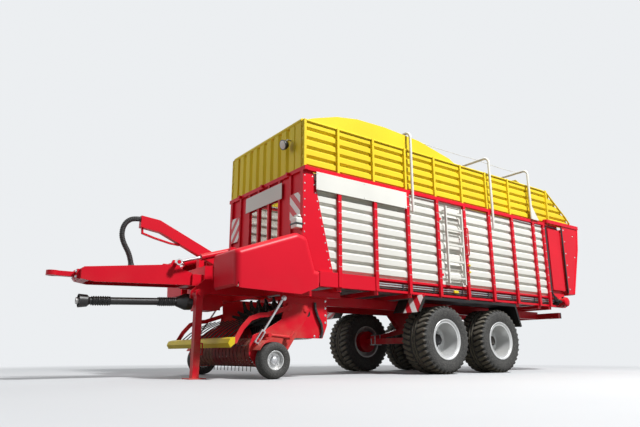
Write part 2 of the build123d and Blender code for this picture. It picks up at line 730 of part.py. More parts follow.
for z in (RUNG_LOW, RUNG_LOW + (RUNGS - 1) * RUNG_PITCH):
    for x in ladder_x:
        ladder += span((x - 10, x + 10), (door_face - 3, ladder_y[0]), (z + 45, z + 65))
nodes["ladder"] = [ladder]

# Front wall with its boards
wall_x = (wall_front, BOX_FRONT)
front_wall = span((wall_front + 10, wall_front + 25), both(FRONT_WALL_HALF), (SILL_HIGH, RAIL_LOW))
for y in SLOTS_Y:
    front_wall -= span(wall_x, (y - SLOT_HALF, y + SLOT_HALF), SLOT_Z)
bar_x = (wall_front + 25, BOX_FRONT - HAZARD_PLATE)
for y in FRONT_BARS_Y:
    front_wall += pair(span(bar_x, (y - FRONT_BAR_HALF, y + FRONT_BAR_HALF), (SILL_HIGH, RAIL_LOW)))
front_wall += span(wall_x, both(POST_OUT + 15), (RAIL_LOW, RAIL_HIGH))
for y in STUBS_Y:
    stub_z = (RAIL_LOW + RAIL_HIGH) / 2
    front_wall += rod((BOX_FRONT, y, stub_z), (BOX_FRONT + STUB_REACH, y, stub_z), STUB)
nodes["front_wall"] = [front_wall]
gusset = [(BOX_FRONT, SILL_HIGH), (BOX_FRONT, RAIL_LOW), (GUSSET_TOP, RAIL_LOW), (GUSSET_FOOT, SILL_HIGH)]
corner = plate_y(gusset, (WALL_OUT, WALL_OUT + GUSSET_PLATE))
corner += span(wall_x, (FRONT_WALL_HALF, WALL_OUT), (SILL_HIGH, RAIL_LOW))
nodes["side_posts"] += pair(corner)
side_board_x = (post_x(2) + POST_HALF + 5, SIDE_BOARD_FRONT)
side_board_y = (POST_OUT, POST_OUT + BOARD_PLATE)
nodes["name_boards"] = pair(span(side_board_x, side_board_y, (SIDE_BOARD_LOW, RAIL_LOW)))
front_board_x = (BOX_FRONT - HAZARD_PLATE, BOX_FRONT - HAZARD_PLATE + BOARD_PLATE)
nodes["name_boards"].append(span(front_board_x, both(FRONT_BOARD_HALF), FRONT_BOARD_Z))
nodes["hazard_boards"] = pair(span((BOX_FRONT - HAZARD_PLATE, BOX_FRONT), WALL_HAZARD_Y, WALL_HAZARD_Z))
nodes["canister"] = [span((BOX_FRONT, BOX_FRONT + CANISTER_DEEP), CANISTER_Y, CANISTER_Z)]

# Hay section
hay = plate_x(ribs(RAIL_HIGH + 4, HAY_TOP, HAY_OUT, RIB_DEEP, HAY_RIB_PITCH), (HAY_REAR, BOX_FRONT))
above = HAY_TOP + 10
tail_cut = HAY_TAIL + [(HAY_TAIL[-1][0], above), (HAY_REAR - 20, above), (HAY_REAR - 20, HAY_TAIL[0][1])]
hay -= plate_y(tail_cut, (0, HAY_STAKE_OUT))
hay += plate_y(HUMP, (HAY_OUT - HUMP_PLATE, HAY_OUT))
for x in POSTS[:-1] + [BOX_FRONT - 30, REAR_POST - 260]:
    stake_x = (x - HAY_STAKE_HALF, x + HAY_STAKE_HALF)
    hay += span(stake_x, (HAY_OUT - RIB_DEEP, HAY_STAKE_OUT), (RAIL_HIGH, HAY_TOP))
nodes["hay_sides"] = pair(hay)
hay_face = BOX_FRONT - HAZARD_PLATE
hay_front_z = (RAIL_HIGH, HAY_TOP - 30)
ribbed_half = FRONT_WALL_HALF - HAY_CORNER
hay_front = plate_z(ribs(-ribbed_half, ribbed_half, hay_face, RIB_DEEP, HAY_FRONT_PITCH), hay_front_z)
hay_front += pair(span((hay_face - RIB_DEEP - SHEET, hay_face), (ribbed_half, FRONT_WALL_HALF), hay_front_z))
hay_front += rod_y((BOX_FRONT - HAY_FRONT_RAIL + 1, HAY_TOP), HAY_FRONT_RAIL, both(FRONT_WALL_HALF))
gable_half = HAY_OUT - RIB_DEEP - SHEET
gable_left = list(zip((gable_half, gable_half, GABLE_BEND_Y, 0), GABLE_Z))
gable = gable_left + [(-y, z) for y, z in gable_left[2::-1]]
nodes["hay_ends"] = [hay_front, plate_x(gable, (GABLE - GABLE_PLATE / 2, GABLE + GABLE_PLATE / 2))]
nodes["roof_bows"] = []
bow_y = POST_OUT + BOW_TUBE
bow_reach = bow_y - BOW_BEND
bow_z = BOW_TOP - BOW_TUBE
for x, low in BOWS:
    bow = rod((x, -bow_reach, bow_z), (x, bow_reach, bow_z), BOW_TUBE)
    bend = revolve(Plane.XY * Pos(0, BOW_BEND) * Circle(BOW_TUBE), axis=Axis.X, revolution_arc=90)
    bow += pair(rod((x, bow_y, low), (x, bow_y, bow_z - BOW_BEND), BOW_TUBE))
    bow += pair(Pos(TANDEM_X + x, bow_reach, bow_z - BOW_BEND) * bend)
    nodes["roof_bows"].append(bow)
foot_x, foot_z = BOWS[-1]
bow_gusset = [(foot_x, foot_z), (foot_x - BOW_GUSSET[0], foot_z), (foot_x, foot_z + BOW_GUSSET[1])]
bow_gusset_y = (bow_y - BOW_GUSSET_PLATE / 2, bow_y + BOW_GUSSET_PLATE / 2)
nodes["roof_bows"][-1] += pair(plate_y(bow_gusset, bow_gusset_y))

# Hoods at the front corners, and the fairings behind them
outline = make_face(Polyline(*[ahead(p[:2]) for p in HOOD], close=True))
for x, z, radius in HOOD:
    if radius:
        outline = fillet(outline.vertices().sort_by_distance((TANDEM_X + x, z, 0))[0], radius)
hood_seat = Plane((0, HOOD_IN, 0), x_dir=(1, 0, 0), z_dir=(0, -1, 0))
shell = extrude(hood_seat * outline, amount=HOOD_OUT - HOOD_IN, dir=(0, 1, 0))
shell = fillet(shell.faces().sort_by(Axis.Y)[-1].edges().filter_by(upper_edge), HOOD_ROUND)
hollow_outline = offset(outline, amount=-HOOD_WALL, kind=Kind.INTERSECTION)
hollow = extrude(hood_seat * hollow_outline, amount=HOOD_OUT - HOOD_IN - HOOD_WALL, dir=(0, 1, 0))
hollow = fillet(hollow.faces().sort_by(Axis.Y)[-1].edges().filter_by(upper_edge), HOOD_ROUND - HOOD_WALL)
shell -= hollow
shell -= plate_y(HOOD_UNDERSIDE, (HOOD_IN - 1, HOOD_OUT - HOOD_WALL))
box_room_x = (SILL_FRONT - HOOD_OUT, BOX_FRONT + HOOD_SILL_PLAY)
shell -= span(box_room_x, (0, POST_OUT + 4), (0, RAIL_LOW))
nodes["hoods"] = pair(shell)
fairing_y = (WALL_OUT, WALL_OUT + FAIRING_PLATE)
for fairing_x in ((post_x(1) + POST_HALF, FIRST_POST - POST_HALF), (FIRST_POST + POST_HALF, FAIRING_FRONT)):
    nodes["hoods"] += pair(span(fairing_x, fairing_y, (SILL_LOW - FAIRING_DROP, SILL_HIGH)))

# Gearbox and drive shaft
fork_z = (SHAFT_JOINT[1] - FORK_HALF, SHAFT_JOINT[1] + FORK_HALF)
fork_back = SHAFT_JOINT[0] - FORK_BACK
gearbox = plate_y(GEARBOX, both(GEARBOX_HALF))
gearbox += rod((GEARBOX[-1][0], 0, SHAFT_JOINT[1]), (fork_back, 0, SHAFT_JOINT[1]), SHAFT_CORE)
gearbox += pair(span((fork_back - FORK_PLATE, SHAFT_JOINT[0] + 25), (FORK_IN, FORK_OUT), fork_z))
gearbox += span((fork_back - FORK_PLATE, fork_back), both(FORK_OUT), fork_z)
gearbox += rod_y(SHAFT_JOINT, SHAFT_CROSS, both(FORK_OUT))
nodes["gearbox"] = [gearbox]
yoke_foot = SHAFT_LENGTH - YOKE_LONG
shaft = spun([(0, -30), (SHAFT_CORE, -30), (SHAFT_CORE, 120), (SHAFT_GUARD, 120),
              (SHAFT_GUARD, yoke_foot - 20), (75, yoke_foot + 10), (85, yoke_foot + 110),
              (85 - CONE_WALL, yoke_foot + 110), (75 - CONE_WALL, yoke_foot + 20), (YOKE + 2, yoke_foot),
              (0, yoke_foot)])
cone_radius, cone_end = CONE
shaft += spun([(SHAFT_GUARD, cone_end), (60, cone_end), (cone_radius, 20), (cone_radius, -60),
               (cone_radius - CONE_WALL, -60), (cone_radius - CONE_WALL, 18), (56, cone_end - 10),
               (SHAFT_GUARD, cone_end - 10)])
shaft -= Rot(0, 90, 0) * Cylinder(SHAFT_CROSS + BEARING_GAP, 4 * SHAFT_GUARD)
yoke = spun([(0, yoke_foot), (YOKE, yoke_foot), (YOKE, SHAFT_LENGTH), (SPLINE_BORE, SHAFT_LENGTH),
             (SPLINE_BORE, SHAFT_LENGTH - SPLINE_DEEP), (0, SHAFT_LENGTH - SPLINE_DEEP)])
shaft_x, shaft_z = ahead(SHAFT_JOINT)
shaft_seat = Pos(shaft_x, 0, shaft_z) * Rot(0, SHAFT_DROOP, 0) * Rot(0, 0, -90)
nodes["drive_shaft"] = [shaft_seat * shaft]
nodes["shaft_yoke"] = [shaft_seat * yoke]

# Drawbar, hitch eye and cylinders
drawbar = plate_y(DRAWBAR, both(DRAWBAR_HALF)) - plate_y(DRAWBAR_CHANNEL, both(DRAWBAR_HALF - DRAWBAR_WALL))
drawbar -= rod_y(FOLD, FOLD_PIN + BEARING_GAP, both(DRAWBAR_HALF + EAR_GAP))
rod_x, rod_z = CYLINDER_FRONT
eye_lug = [(rod_x - 90, rod_z - 100), (rod_x + 90, rod_z - 80), (rod_x + 35, rod_z + 40),
           (rod_x - 35, rod_z + 40)]
drawbar += pair(plate_y(eye_lug, (DRAWBAR_HALF - LUG_PLATE, DRAWBAR_HALF)))
drawbar += rod_y(CYLINDER_FRONT, CYLINDER_PIN, both(CYLINDER_Y + CYLINDER_EYE_WIDE / 2 + 4))
nodes["drawbar"] = [drawbar]
eye_x = FRONT_REACH - EYE_RADIUS
eye_z = (EYE_Z - EYE_THICK / 2, EYE_Z + EYE_THICK / 2)
eye_seat = Pos(TANDEM_X + eye_x, 0, EYE_Z)
eye = eye_seat * Cylinder(EYE_RADIUS, EYE_THICK) + span((EYE_FLANGE[1], eye_x), both(EYE_NECK), eye_z)
flange_z = (EYE_Z - EYE_FLANGE_HALF[1], EYE_Z + EYE_FLANGE_HALF[1])
eye += span(EYE_FLANGE, both(EYE_FLANGE_HALF[0]), flange_z)
nodes["hitch_eye"] = [eye - eye_seat * Cylinder(EYE_BORE, 2 * EYE_THICK)]
stroke = (CYLINDER_FRONT[0] - CYLINDER_REAR[0], CYLINDER_FRONT[1] - CYLINDER_REAR[1])
closed = hypot(*stroke)
across = Rot(90, 0, 0)


def along(radius, start, end):
    """Round bar along the cylinder's own axis."""
    return Pos((start + end) / 2, 0, 0) * Rot(0, 90, 0) * Cylinder(radius, end - start)


barrel = across * Cylinder(CYLINDER_EYE, CYLINDER_EYE_WIDE) + along(CYLINDER_BORE, *BARREL_REACH)
barrel -= across * Cylinder(CYLINDER_PIN + BEARING_GAP, 2 * CYLINDER_EYE_WIDE)
barrel -= along(CYLINDER_ROD + BEARING_GAP, BARREL_FLOOR, BARREL_REACH[1] + 1)
eye_across = Pos(closed, 0, 0) * across
ram = along(CYLINDER_ROD, ROD_FOOT, closed) + eye_across * Cylinder(ROD_EYE, CYLINDER_EYE_WIDE)
ram -= eye_across * Cylinder(CYLINDER_PIN + ROD_EYE_PLAY, 2 * CYLINDER_EYE_WIDE)
cylinder_x, cylinder_z = ahead(CYLINDER_REAR)
cylinder_seat = Pos(cylinder_x, CYLINDER_Y, cylinder_z) * Rot(0, degrees(atan2(-stroke[1], stroke[0])), 0)
nodes["cylinder_barrels"] = pair(cylinder_seat * barrel)
nodes["cylinder_rods"] = pair(cylinder_seat * ram)

# Hose arm, and the bundle of hoses from its tip to the drawbar's top
hanger_bar = plate_y(strip(ARM_HANGER, ARM_HANGER_THICK), both(ARM_HANGER_HALF))
nodes["hose_arm"] = [plate_y(ARM, both(ARM_HALF)) + hanger_bar]
(front_top_x, front_top_z), (rear_top_x, rear_top_z) = DRAWBAR[:2]
top_slope = atan2(rear_top_z - front_top_z, front_top_x - rear_top_x)
hose_end = (HOSE_END_X, rear_top_z - (HOSE_END_X - rear_top_x) * tan(top_slope))
hose_rise = (HOSE_END_X + HOSE_RISE * sin(top_slope), hose_end[1] + HOSE_RISE * cos(top_slope))
hose_points = [Vector(TANDEM_X + x, 0, z) for x, z in HOSE_ROUTE + [hose_rise, hose_end]]
runs = [b - a for a, b in zip(hose_points, hose_points[1:])]
hose_radii = []
for before, after in zip(runs, runs[1:]):
    half_turn = radians(before.get_angle(after)) / 2
    hose_radii.append(HOSE_ARC_SHARE * min(before.length, after.length) / tan(half_turn))
print("hose bends", [round(radius) for radius in hose_radii])
hose_path = FilletPolyline(*hose_points, radius=hose_radii)
hose_mouth = Plane(hose_points[0], z_dir=runs[0])
nodes["hose_bundle"] = [sweep(hose_mouth * Circle(HOSE), path=hose_path)]

# Stand with its handle
tube_half = STAND_TUBE / 2
stand_y = (STAND_Y - tube_half, STAND_Y + tube_half)
leg = span((STAND[0] - tube_half, STAND[0] + tube_half), stand_y, (FOOT_PLATE, STAND[1] - 20))
leg += rod_y(STAND, STAND_EYE, stand_y)
leg += Pos(TANDEM_X + STAND[0], STAND_Y, FOOT_PLATE / 2) * Box(FOOT, FOOT, FOOT_PLATE)
grip_x = STAND[0] - tube_half - HANDLE_OUT
for z in HANDLE_Z:
    leg += rod((STAND[0], STAND_Y, z), (grip_x, STAND_Y, z), HANDLE)
leg += rod((grip_x, STAND_Y, HANDLE_Z[0] - HANDLE), (grip_x, STAND_Y, HANDLE_Z[1] + HANDLE), HANDLE)
nodes["stand"] = [leg - rod_y(STAND, STAND_PIN + BEARING_GAP, (STAND_Y - STAND_TUBE, STAND_Y + STAND_TUBE))]

# Feed rotor with its housing
housing_side = plate_y(HOUSING, (HOUSING_OUT - HOUSING_PLATE, HOUSING_OUT))
housing_side += rod_y(PICKUP_PIVOT, PICKUP_PIN, (HOUSING_OUT - 5, PICKUP_OUT + 12))
stub_y = (HOUSING_OUT - 2 * HOUSING_PLATE, HOUSING_OUT + HOUSING_PLATE)
housing_side -= rod_y(ROTOR, ROTOR_STUB + BEARING_GAP, stub_y)
nodes["rotor_housing"] = pair(housing_side)
trough_in = ROTOR_TIP + TROUGH_GAP
trough = arc_points(ROTOR, trough_in, *TROUGH_TURN, 12)
trough += arc_points(ROTOR, trough_in + TROUGH_PLATE, *TROUGH_TURN[::-1], 12)
nodes["feed_trough"] = [plate_y(trough, both(HOUSING_OUT - HOUSING_PLATE))]
rotor = rod_y(ROTOR, ROTOR_DRUM, both(ROTOR_DRUM_HALF)) + rod_y(ROTOR, ROTOR_STUB, both(HOUSING_OUT - 2))
for i, y in enumerate(in_row(ROTOR_STARS, ROTOR_PITCH)):
    star = []
    for k in range(ROTOR_ARMS):
        turn = k * 360 / ROTOR_ARMS + i * ROTOR_TWIST
        star += [polar(ROTOR, ROTOR_DRUM - 10, turn - 18), polar(ROTOR, ROTOR_TIP, turn + 6)]
        star += [polar(ROTOR, ROTOR_TIP, turn + 12), polar(ROTOR, ROTOR_DRUM - 10, turn + 20)]
    rotor += plate_y(star, (y - ROTOR_STAR_HALF, y + ROTOR_STAR_HALF))
nodes["feed_rotor"] = [rotor]

# Pick-up with its tined reel
bore_y = (PICKUP_IN - PICKUP_PIN, PICKUP_OUT + PICKUP_PIN)
side_plate = plate_y(PICKUP_SIDE, (PICKUP_IN, PICKUP_OUT))
side_plate -= rod_y(PICKUP_PIVOT, PICKUP_PIN + BEARING_GAP, bore_y)
side_plate -= rod_y(REEL, REEL_STUB + BEARING_GAP, bore_y)
side_plate += rod_y(PRESS_PIVOT, PRESS_PIN, (PICKUP_OUT, PRESS_OUT + 4))
side_plate += rod_y(GAUGE, GAUGE_SPINDLE, (PICKUP_OUT, GAUGE_Y + 20))
side_plate += rod_y(LINK_LOW, LOW_PIN, (PICKUP_OUT, LINK_OUT + 2))
for end in GAUGE_ARM[1:]:
    side_plate += rod_y(end, GAUGE_ARM_BOSS, (PICKUP_OUT, GAUGE_ARM_Y + GAUGE_ARM_BOSS))
for start, end in zip(GAUGE_ARM, GAUGE_ARM[1:]):
    side_plate += rod((start[0], GAUGE_ARM_Y, start[1]), (end[0], GAUGE_ARM_Y, end[1]), GAUGE_ARM_TUBE)
nodes["pickup_sides"] = pair(side_plate)
tube_x, tube_z = PICKUP_TUBE
band_path = [(tube_x, tube_z + PICKUP_TUBE_RADIUS - 2)]
band_path += arc_points(REEL, BAND_OUT - BAND_SHEET / 2, BAND_TURN, -BAND_TURN, 10)
band_path.append((tube_x + 10, tube_z - PICKUP_TUBE_RADIUS + 4))
bands = rod_y(PICKUP_TUBE, PICKUP_TUBE_RADIUS, both(PICKUP_IN))
for y in in_row(BAND_COUNT, BAND_PITCH):
    bands += plate_y(strip(band_path, BAND_SHEET), (y - BAND_WIDE / 2, y + BAND_WIDE / 2))
nodes["stripper_bands"] = [bands]
reel = rod_y(REEL, REEL_TUBE, both(REEL_HALF)) + rod_y(REEL, REEL_STUB, both(PICKUP_OUT))
for k in range(REEL_BARS):
    turn = 45 + k * 360 / REEL_BARS
    bar_at = polar(REEL, REEL_BAR_AT, turn)
    reel += rod_y(bar_at, REEL_BAR, both(REEL_HALF - 5))
    tine = strip([bar_at, polar(REEL, REEL_TIP, turn - TINE_LAG)], TINE)
    for y in in_row(BAND_COUNT - 1, BAND_PITCH):
        reel += plate_y(tine, (y - TINE / 2, y + TINE / 2))
reel += pair(rod_y(REEL, REEL_DISC, REEL_DISC_Y))
nodes["pickup_reel"] = [reel]

# Gauge wheels
gauge_seat = Pos(TANDEM_X + GAUGE[0], GAUGE_Y, GAUGE[1])
gauge_half = [(GAUGE_SEAT / cos(pi / GAUGE_SIDES), GAUGE_RIM_HALF), (180, GAUGE_WIDTH / 2), (215, 78),
              (GAUGE[1], 45)]
gauge_tyre = gauge_seat * faceted(both_ends(gauge_half), GAUGE_SIDES)
gauge_bore = GAUGE_SPINDLE + BEARING_GAP
gauge_lip = GAUGE_SEAT - 10
gauge_dish = GAUGE_SEAT - 25
gauge_rim = spun([(GAUGE_SEAT, -GAUGE_RIM_HALF), (GAUGE_SEAT, GAUGE_RIM_HALF), (gauge_lip, GAUGE_RIM_HALF),
                  (gauge_dish, 20), (GAUGE_HUB, 15), (GAUGE_HUB, 40), (gauge_bore, 40), (gauge_bore, -60),
                  (GAUGE_HUB, -60), (GAUGE_HUB, 0), (gauge_dish, 5), (gauge_lip, -GAUGE_RIM_HALF)])
for side, tyre_piece, rim_piece in zip(("left", "right"), pair(gauge_tyre), pair(gauge_seat * gauge_rim)):
    nodes[f"gauge_tyre_{side}"] = [tyre_piece]
    nodes[f"gauge_rim_{side}"] = [rim_piece]

# Crop press
press_y = (PRESS_IN, PRESS_OUT)
press = rod_y(PRESS_TUBE, PRESS_TUBE_RADIUS, both(PRESS_OUT))
press += pair(plate_y(strip(PRESS_ARM, PRESS_ARM_WIDE), press_y) + rod_y(PRESS_PIVOT, PRESS_BOSS, press_y))
for y in in_row(PRESS_TINES, PRESS_TINE_PITCH):
    tine_y = (y - PRESS_TINE_THICK / 2, y + PRESS_TINE_THICK / 2)
    press += plate_y(strip(PRESS_TINE, PRESS_TINE_THICK), tine_y)
press -= pair(rod_y(PRESS_PIVOT, PRESS_PIN + BEARING_GAP, (PRESS_IN - PRESS_PIN, PRESS_OUT + PRESS_PIN)))
nodes["press_frame"] = [press]
bar_half = PRESS_OUT + BAR_OVER
bar = plate_y(strip(BAR_PATH, BAR_SHEET), both(bar_half))
bar += pair(plate_y(BAR_PATH, (bar_half - BAR_END_PLATE, bar_half)))
nodes["press_bar"] = [bar]

# Links that hold the pick-up
link_run = (LINK_LOW[0] - LINK_TOP[0], LINK_LOW[1] - LINK_TOP[1])
link_length = hypot(*link_run)
link_wide = LINK_OUT - LINK_IN
slot_middle = link_length + (SLOT_DOWN - SLOT_UP) / 2
slot_block = SLOT_UP + SLOT_DOWN + 2 * SLOT_RIM
bar_end = (Align.MIN, Align.CENTER, Align.CENTER)
link = Box(slot_middle - slot_block / 2 + LINK_BAR, LINK_BAR, LINK_BAR, align=bar_end)
link += across * Cylinder(LINK_EYE, link_wide)
link += Pos(slot_middle, 0, 0) * Box(slot_block, link_wide, 2 * LINK_EYE)
slot = SlotCenterToCenter(SLOT_UP + SLOT_DOWN, 2 * (LOW_PIN + SLOT_PLAY))
link -= Pos(slot_middle, 0, 0) * extrude(Plane.XZ * slot, amount=link_wide, both=True)
link -= across * Cylinder(LINK_PIN + BEARING_GAP, 2 * link_wide)
link_x, link_z = ahead(LINK_TOP)
link_turn = Rot(0, degrees(atan2(-link_run[1], link_run[0])), 0)
link_seat = Pos(link_x, (LINK_IN + LINK_OUT) / 2, link_z) * link_turn
nodes["pickup_links"] = pair(link_seat * link)

# Rear end
gate_x, gate_z = GATE_PIVOT
rear_wall = span((REAR_WALL_END, wall_rear), (REAR_WALL_IN, REAR_WALL_OUT), (SILL_HIGH, RAIL_HIGH))
gate_ear_z = (RAIL_HIGH - GATE_EAR_FOOT, gate_z + 45)
gate_ear = [(gate_x - GATE_EAR_FOOT, gate_ear_z[0]), (gate_x + GATE_EAR_FOOT, gate_ear_z[0]),
            (gate_x + 40, gate_ear_z[1]), (gate_x - 40, gate_ear_z[1])]
rear_wall += plate_y(gate_ear, (REAR_WALL_OUT, GATE_IN - 10))
rear_wall += rod_y(GATE_PIVOT, GATE_PIN, (REAR_WALL_OUT, GATE_OUT + 4))
for seat in DOSING:
    stub_y = (REAR_WALL_IN - DOSING_STUB, REAR_WALL_OUT + DOSING_STUB)
    rear_wall -= rod_y(seat, DOSING_STUB + BEARING_GAP, stub_y)
nodes["rear_walls"] = pair(rear_wall)
for level, seat in zip(("lower", "upper"), DOSING):
    roller = rod_y(seat, DOSING_CORE, both(DOSING_HALF)) + rod_y(seat, DOSING_STUB, both(REAR_WALL_OUT))
    for k in range(DOSING_BLADES):
        turn = k * 360 / DOSING_BLADES
        tooth = strip([polar(seat, DOSING_CORE - 10, turn), polar(seat, DOSING_TIP, turn)], DOSING_TOOTH[0])
        shift = DOSING_STAGGER if k % 2 else -DOSING_STAGGER
        for y in in_row(DOSING_TEETH, DOSING_PITCH):
            roller += plate_y(tooth, (y + shift - DOSING_TOOTH[1] / 2, y + shift + DOSING_TOOTH[1] / 2))
    nodes[f"dosing_roller_{level}"] = [roller]
nodes["rear_drive"] = [span(CHAIN_GUARD_X, (REAR_WALL_OUT, GATE_IN - GATE_GAP), CHAIN_GUARD_Z),
                       rod_y(FLOOR_DRIVE, FLOOR_DRIVE_RADIUS, (WALL_OUT, WALL_OUT + FLOOR_DRIVE_LONG))]
gate_arm = [(gate_x + 45, GATE_ARM_Z[0]), (gate_x + 45, GATE_ARM_Z[1]), (-REAR_REACH, GATE_ARM_Z[1]),
            (-REAR_REACH, GATE_ARM_Z[0])]
gate_side = [(GATE_FRONT, GATE_ARM_Z[0]), (-REAR_REACH, GATE_ARM_Z[0]), GATE_KNEE, GATE_TIP,
             (GATE_FRONT, GATE_TIP[1])]
inset = GATE_WALL / 2
gate_skin = [(-REAR_REACH + inset + 3, GATE_ARM_Z[1] - 8), (GATE_KNEE[0] + inset + 1, GATE_KNEE[1]),
             (GATE_TIP[0] + inset, GATE_TIP[1])]
gate = plate_y(strip(gate_skin, GATE_WALL), both(GATE_IN))
gate += pair(plate_y(gate_arm, (GATE_IN, GATE_OUT)))
gate += pair(plate_y(gate_side, (GATE_IN, GATE_IN + GATE_SIDE_PLATE)))
gate -= pair(rod_y(GATE_PIVOT, GATE_PIN + BEARING_GAP, (GATE_IN - GATE_PIN, GATE_OUT + GATE_PIN)))
nodes["tailgate"] = [gate]

# Fenders with their boards, and tail lamps
fender = plate_y(strip(FENDER, FENDER_SHEET), (FENDER_IN, FENDER_OUT))
fender += plate_y(strip(FENDER, FENDER_LIP), (FENDER_OUT - FENDER_LIP_WIDE, FENDER_OUT))
nodes["fenders"] = pair(fender)
flap_foot, flap_top = FENDER[:2]
flap_lean = (flap_foot[0] - flap_top[0]) / (flap_top[1] - flap_foot[1])
board_low = flap_foot[1] - FENDER_BOARD_DROP
board_x = flap_foot[0] + FENDER_SHEET / 2 * hypot(1, flap_lean) + BEARING_GAP
board = []
for x, z in ((0, board_low), (HAZARD_PLATE, board_low), (HAZARD_PLATE, board_low + FENDER_BOARD_HIGH),
             (0, board_low + FENDER_BOARD_HIGH)):
    board.append((board_x - (z - flap_foot[1]) * flap_lean + x, z))
nodes["hazard_boards"] += pair(plate_y(board, [FENDER_OUT - back for back in FENDER_BOARD_Y]))
lamp_x = (rear_beam_x[0] - LAMP_DEEP, rear_beam_x[0])
nodes["tail_lamps"] = pair(span(lamp_x, LAMP_Y, LAMP_Z))

os.makedirs("parts", exist_ok=True)
for name, solids in nodes.items():
    export_step(Compound(solids), f"parts/{name}.step")
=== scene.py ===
"""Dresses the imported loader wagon: finishes for its solids, the fine pieces on them, light and camera."""

from __future__ import annotations

import json
import logging
import math
from dataclasses import dataclass, field
from enum import Enum
from typing import Sequence, Union

import bpy
import numpy as np
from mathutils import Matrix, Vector

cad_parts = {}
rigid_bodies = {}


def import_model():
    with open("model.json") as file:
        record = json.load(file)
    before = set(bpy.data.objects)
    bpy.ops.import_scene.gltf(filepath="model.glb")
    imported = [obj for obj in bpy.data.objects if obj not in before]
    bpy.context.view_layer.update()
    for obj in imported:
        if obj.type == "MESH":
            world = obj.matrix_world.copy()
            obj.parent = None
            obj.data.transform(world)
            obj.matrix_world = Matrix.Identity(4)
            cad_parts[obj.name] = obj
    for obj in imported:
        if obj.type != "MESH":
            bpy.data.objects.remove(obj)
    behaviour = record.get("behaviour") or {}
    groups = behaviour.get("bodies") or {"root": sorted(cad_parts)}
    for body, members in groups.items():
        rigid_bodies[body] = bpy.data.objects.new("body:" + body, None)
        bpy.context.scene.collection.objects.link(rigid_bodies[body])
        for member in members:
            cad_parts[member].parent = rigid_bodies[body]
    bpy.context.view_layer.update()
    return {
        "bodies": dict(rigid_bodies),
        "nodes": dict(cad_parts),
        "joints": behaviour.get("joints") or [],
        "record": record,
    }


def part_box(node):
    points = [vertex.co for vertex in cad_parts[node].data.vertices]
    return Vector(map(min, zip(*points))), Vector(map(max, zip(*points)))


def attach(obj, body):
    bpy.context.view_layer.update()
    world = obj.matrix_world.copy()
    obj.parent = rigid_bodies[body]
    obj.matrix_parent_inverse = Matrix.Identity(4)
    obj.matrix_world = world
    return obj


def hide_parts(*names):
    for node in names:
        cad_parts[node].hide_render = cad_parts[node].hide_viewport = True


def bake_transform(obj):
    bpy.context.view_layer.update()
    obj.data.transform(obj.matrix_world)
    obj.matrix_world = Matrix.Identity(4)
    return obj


LOG = logging.getLogger("loader_wagon")
TANDEM_X = -1.34

Array = np.ndarray
Colour = tuple[float, float, float]
Point = tuple[float, float, float]
Profile = tuple[tuple[float, float], ...]
Route = tuple[Point, ...]
Value = Union["Sock", float, Sequence[float]]

ORIGIN: Point = (0, 0, 0)
FORWARD: Point = (1, 0, 0)
ACROSS: Point = (0, 1, 0)
UPWARD: Point = (0, 0, 1)


class Side(Enum):
    """Side of the wagon, with the sign of its y."""

    LEFT = 1
    RIGHT = -1

    @property
    def word(self) -> str:
        """Name of the side as the nodes spell it."""
        return self.name.lower()


class Sock:
    """A shader socket whose operators add Math nodes."""

    def __init__(self, graph: Graph, socket: bpy.types.NodeSocket) -> None:
        """Keeps the graph and the socket."""
        self.graph = graph
        self.socket = socket

    def __add__(self, other: Value) -> Sock:
        """Sum of two values."""
        return self.graph.math("ADD", self, other)

    def __radd__(self, other: Value) -> Sock:
        """Sum with a number on the left."""
        return self.graph.math("ADD", other, self)

    def __sub__(self, other: Value) -> Sock:
        """Difference of two values."""
        return self.graph.math("SUBTRACT", self, other)

    def __rsub__(self, other: Value) -> Sock:
        """Difference from a number on the left."""
        return self.graph.math("SUBTRACT", other, self)

    def __mul__(self, other: Value) -> Sock:
        """Product of two values."""
        return self.graph.math("MULTIPLY", self, other)

    def __rmul__(self, other: Value) -> Sock:
        """Product with a number on the left."""
        return self.graph.math("MULTIPLY", other, self)

    def __truediv__(self, other: Value) -> Sock:
        """Quotient of two values."""
        return self.graph.math("DIVIDE", self, other)

    def __gt__(self, other: Value) -> Sock:
        """1 where this value is the larger, else 0."""
        return self.graph.math("GREATER_THAN", self, other)

    def clamped(self) -> Sock:
        """Value kept between 0 and 1."""
        return self.graph.node("ShaderNodeClamp", {}, {0: self})

    def fraction(self) -> Sock:
        """Part of the value after its whole number."""
        return self.graph.math("FRACT", self, 0.0)

    def size(self) -> Sock:
        """Value without its sign."""
        return self.graph.math("ABSOLUTE", self, 0.0)

    def ramp(self, low: float, high: float) -> Sock:
        """0 below low, 1 above high and a smooth rise between.

        Args:
            low: value where the rise starts.
            high: value where it ends.

        Returns:
            The eased value.
        """
        settings = {"interpolation_type": "SMOOTHSTEP"}
        return self.graph.node("ShaderNodeMapRange", settings, {0: self, 1: low, 2: high, 3: 0.0, 4: 1.0})


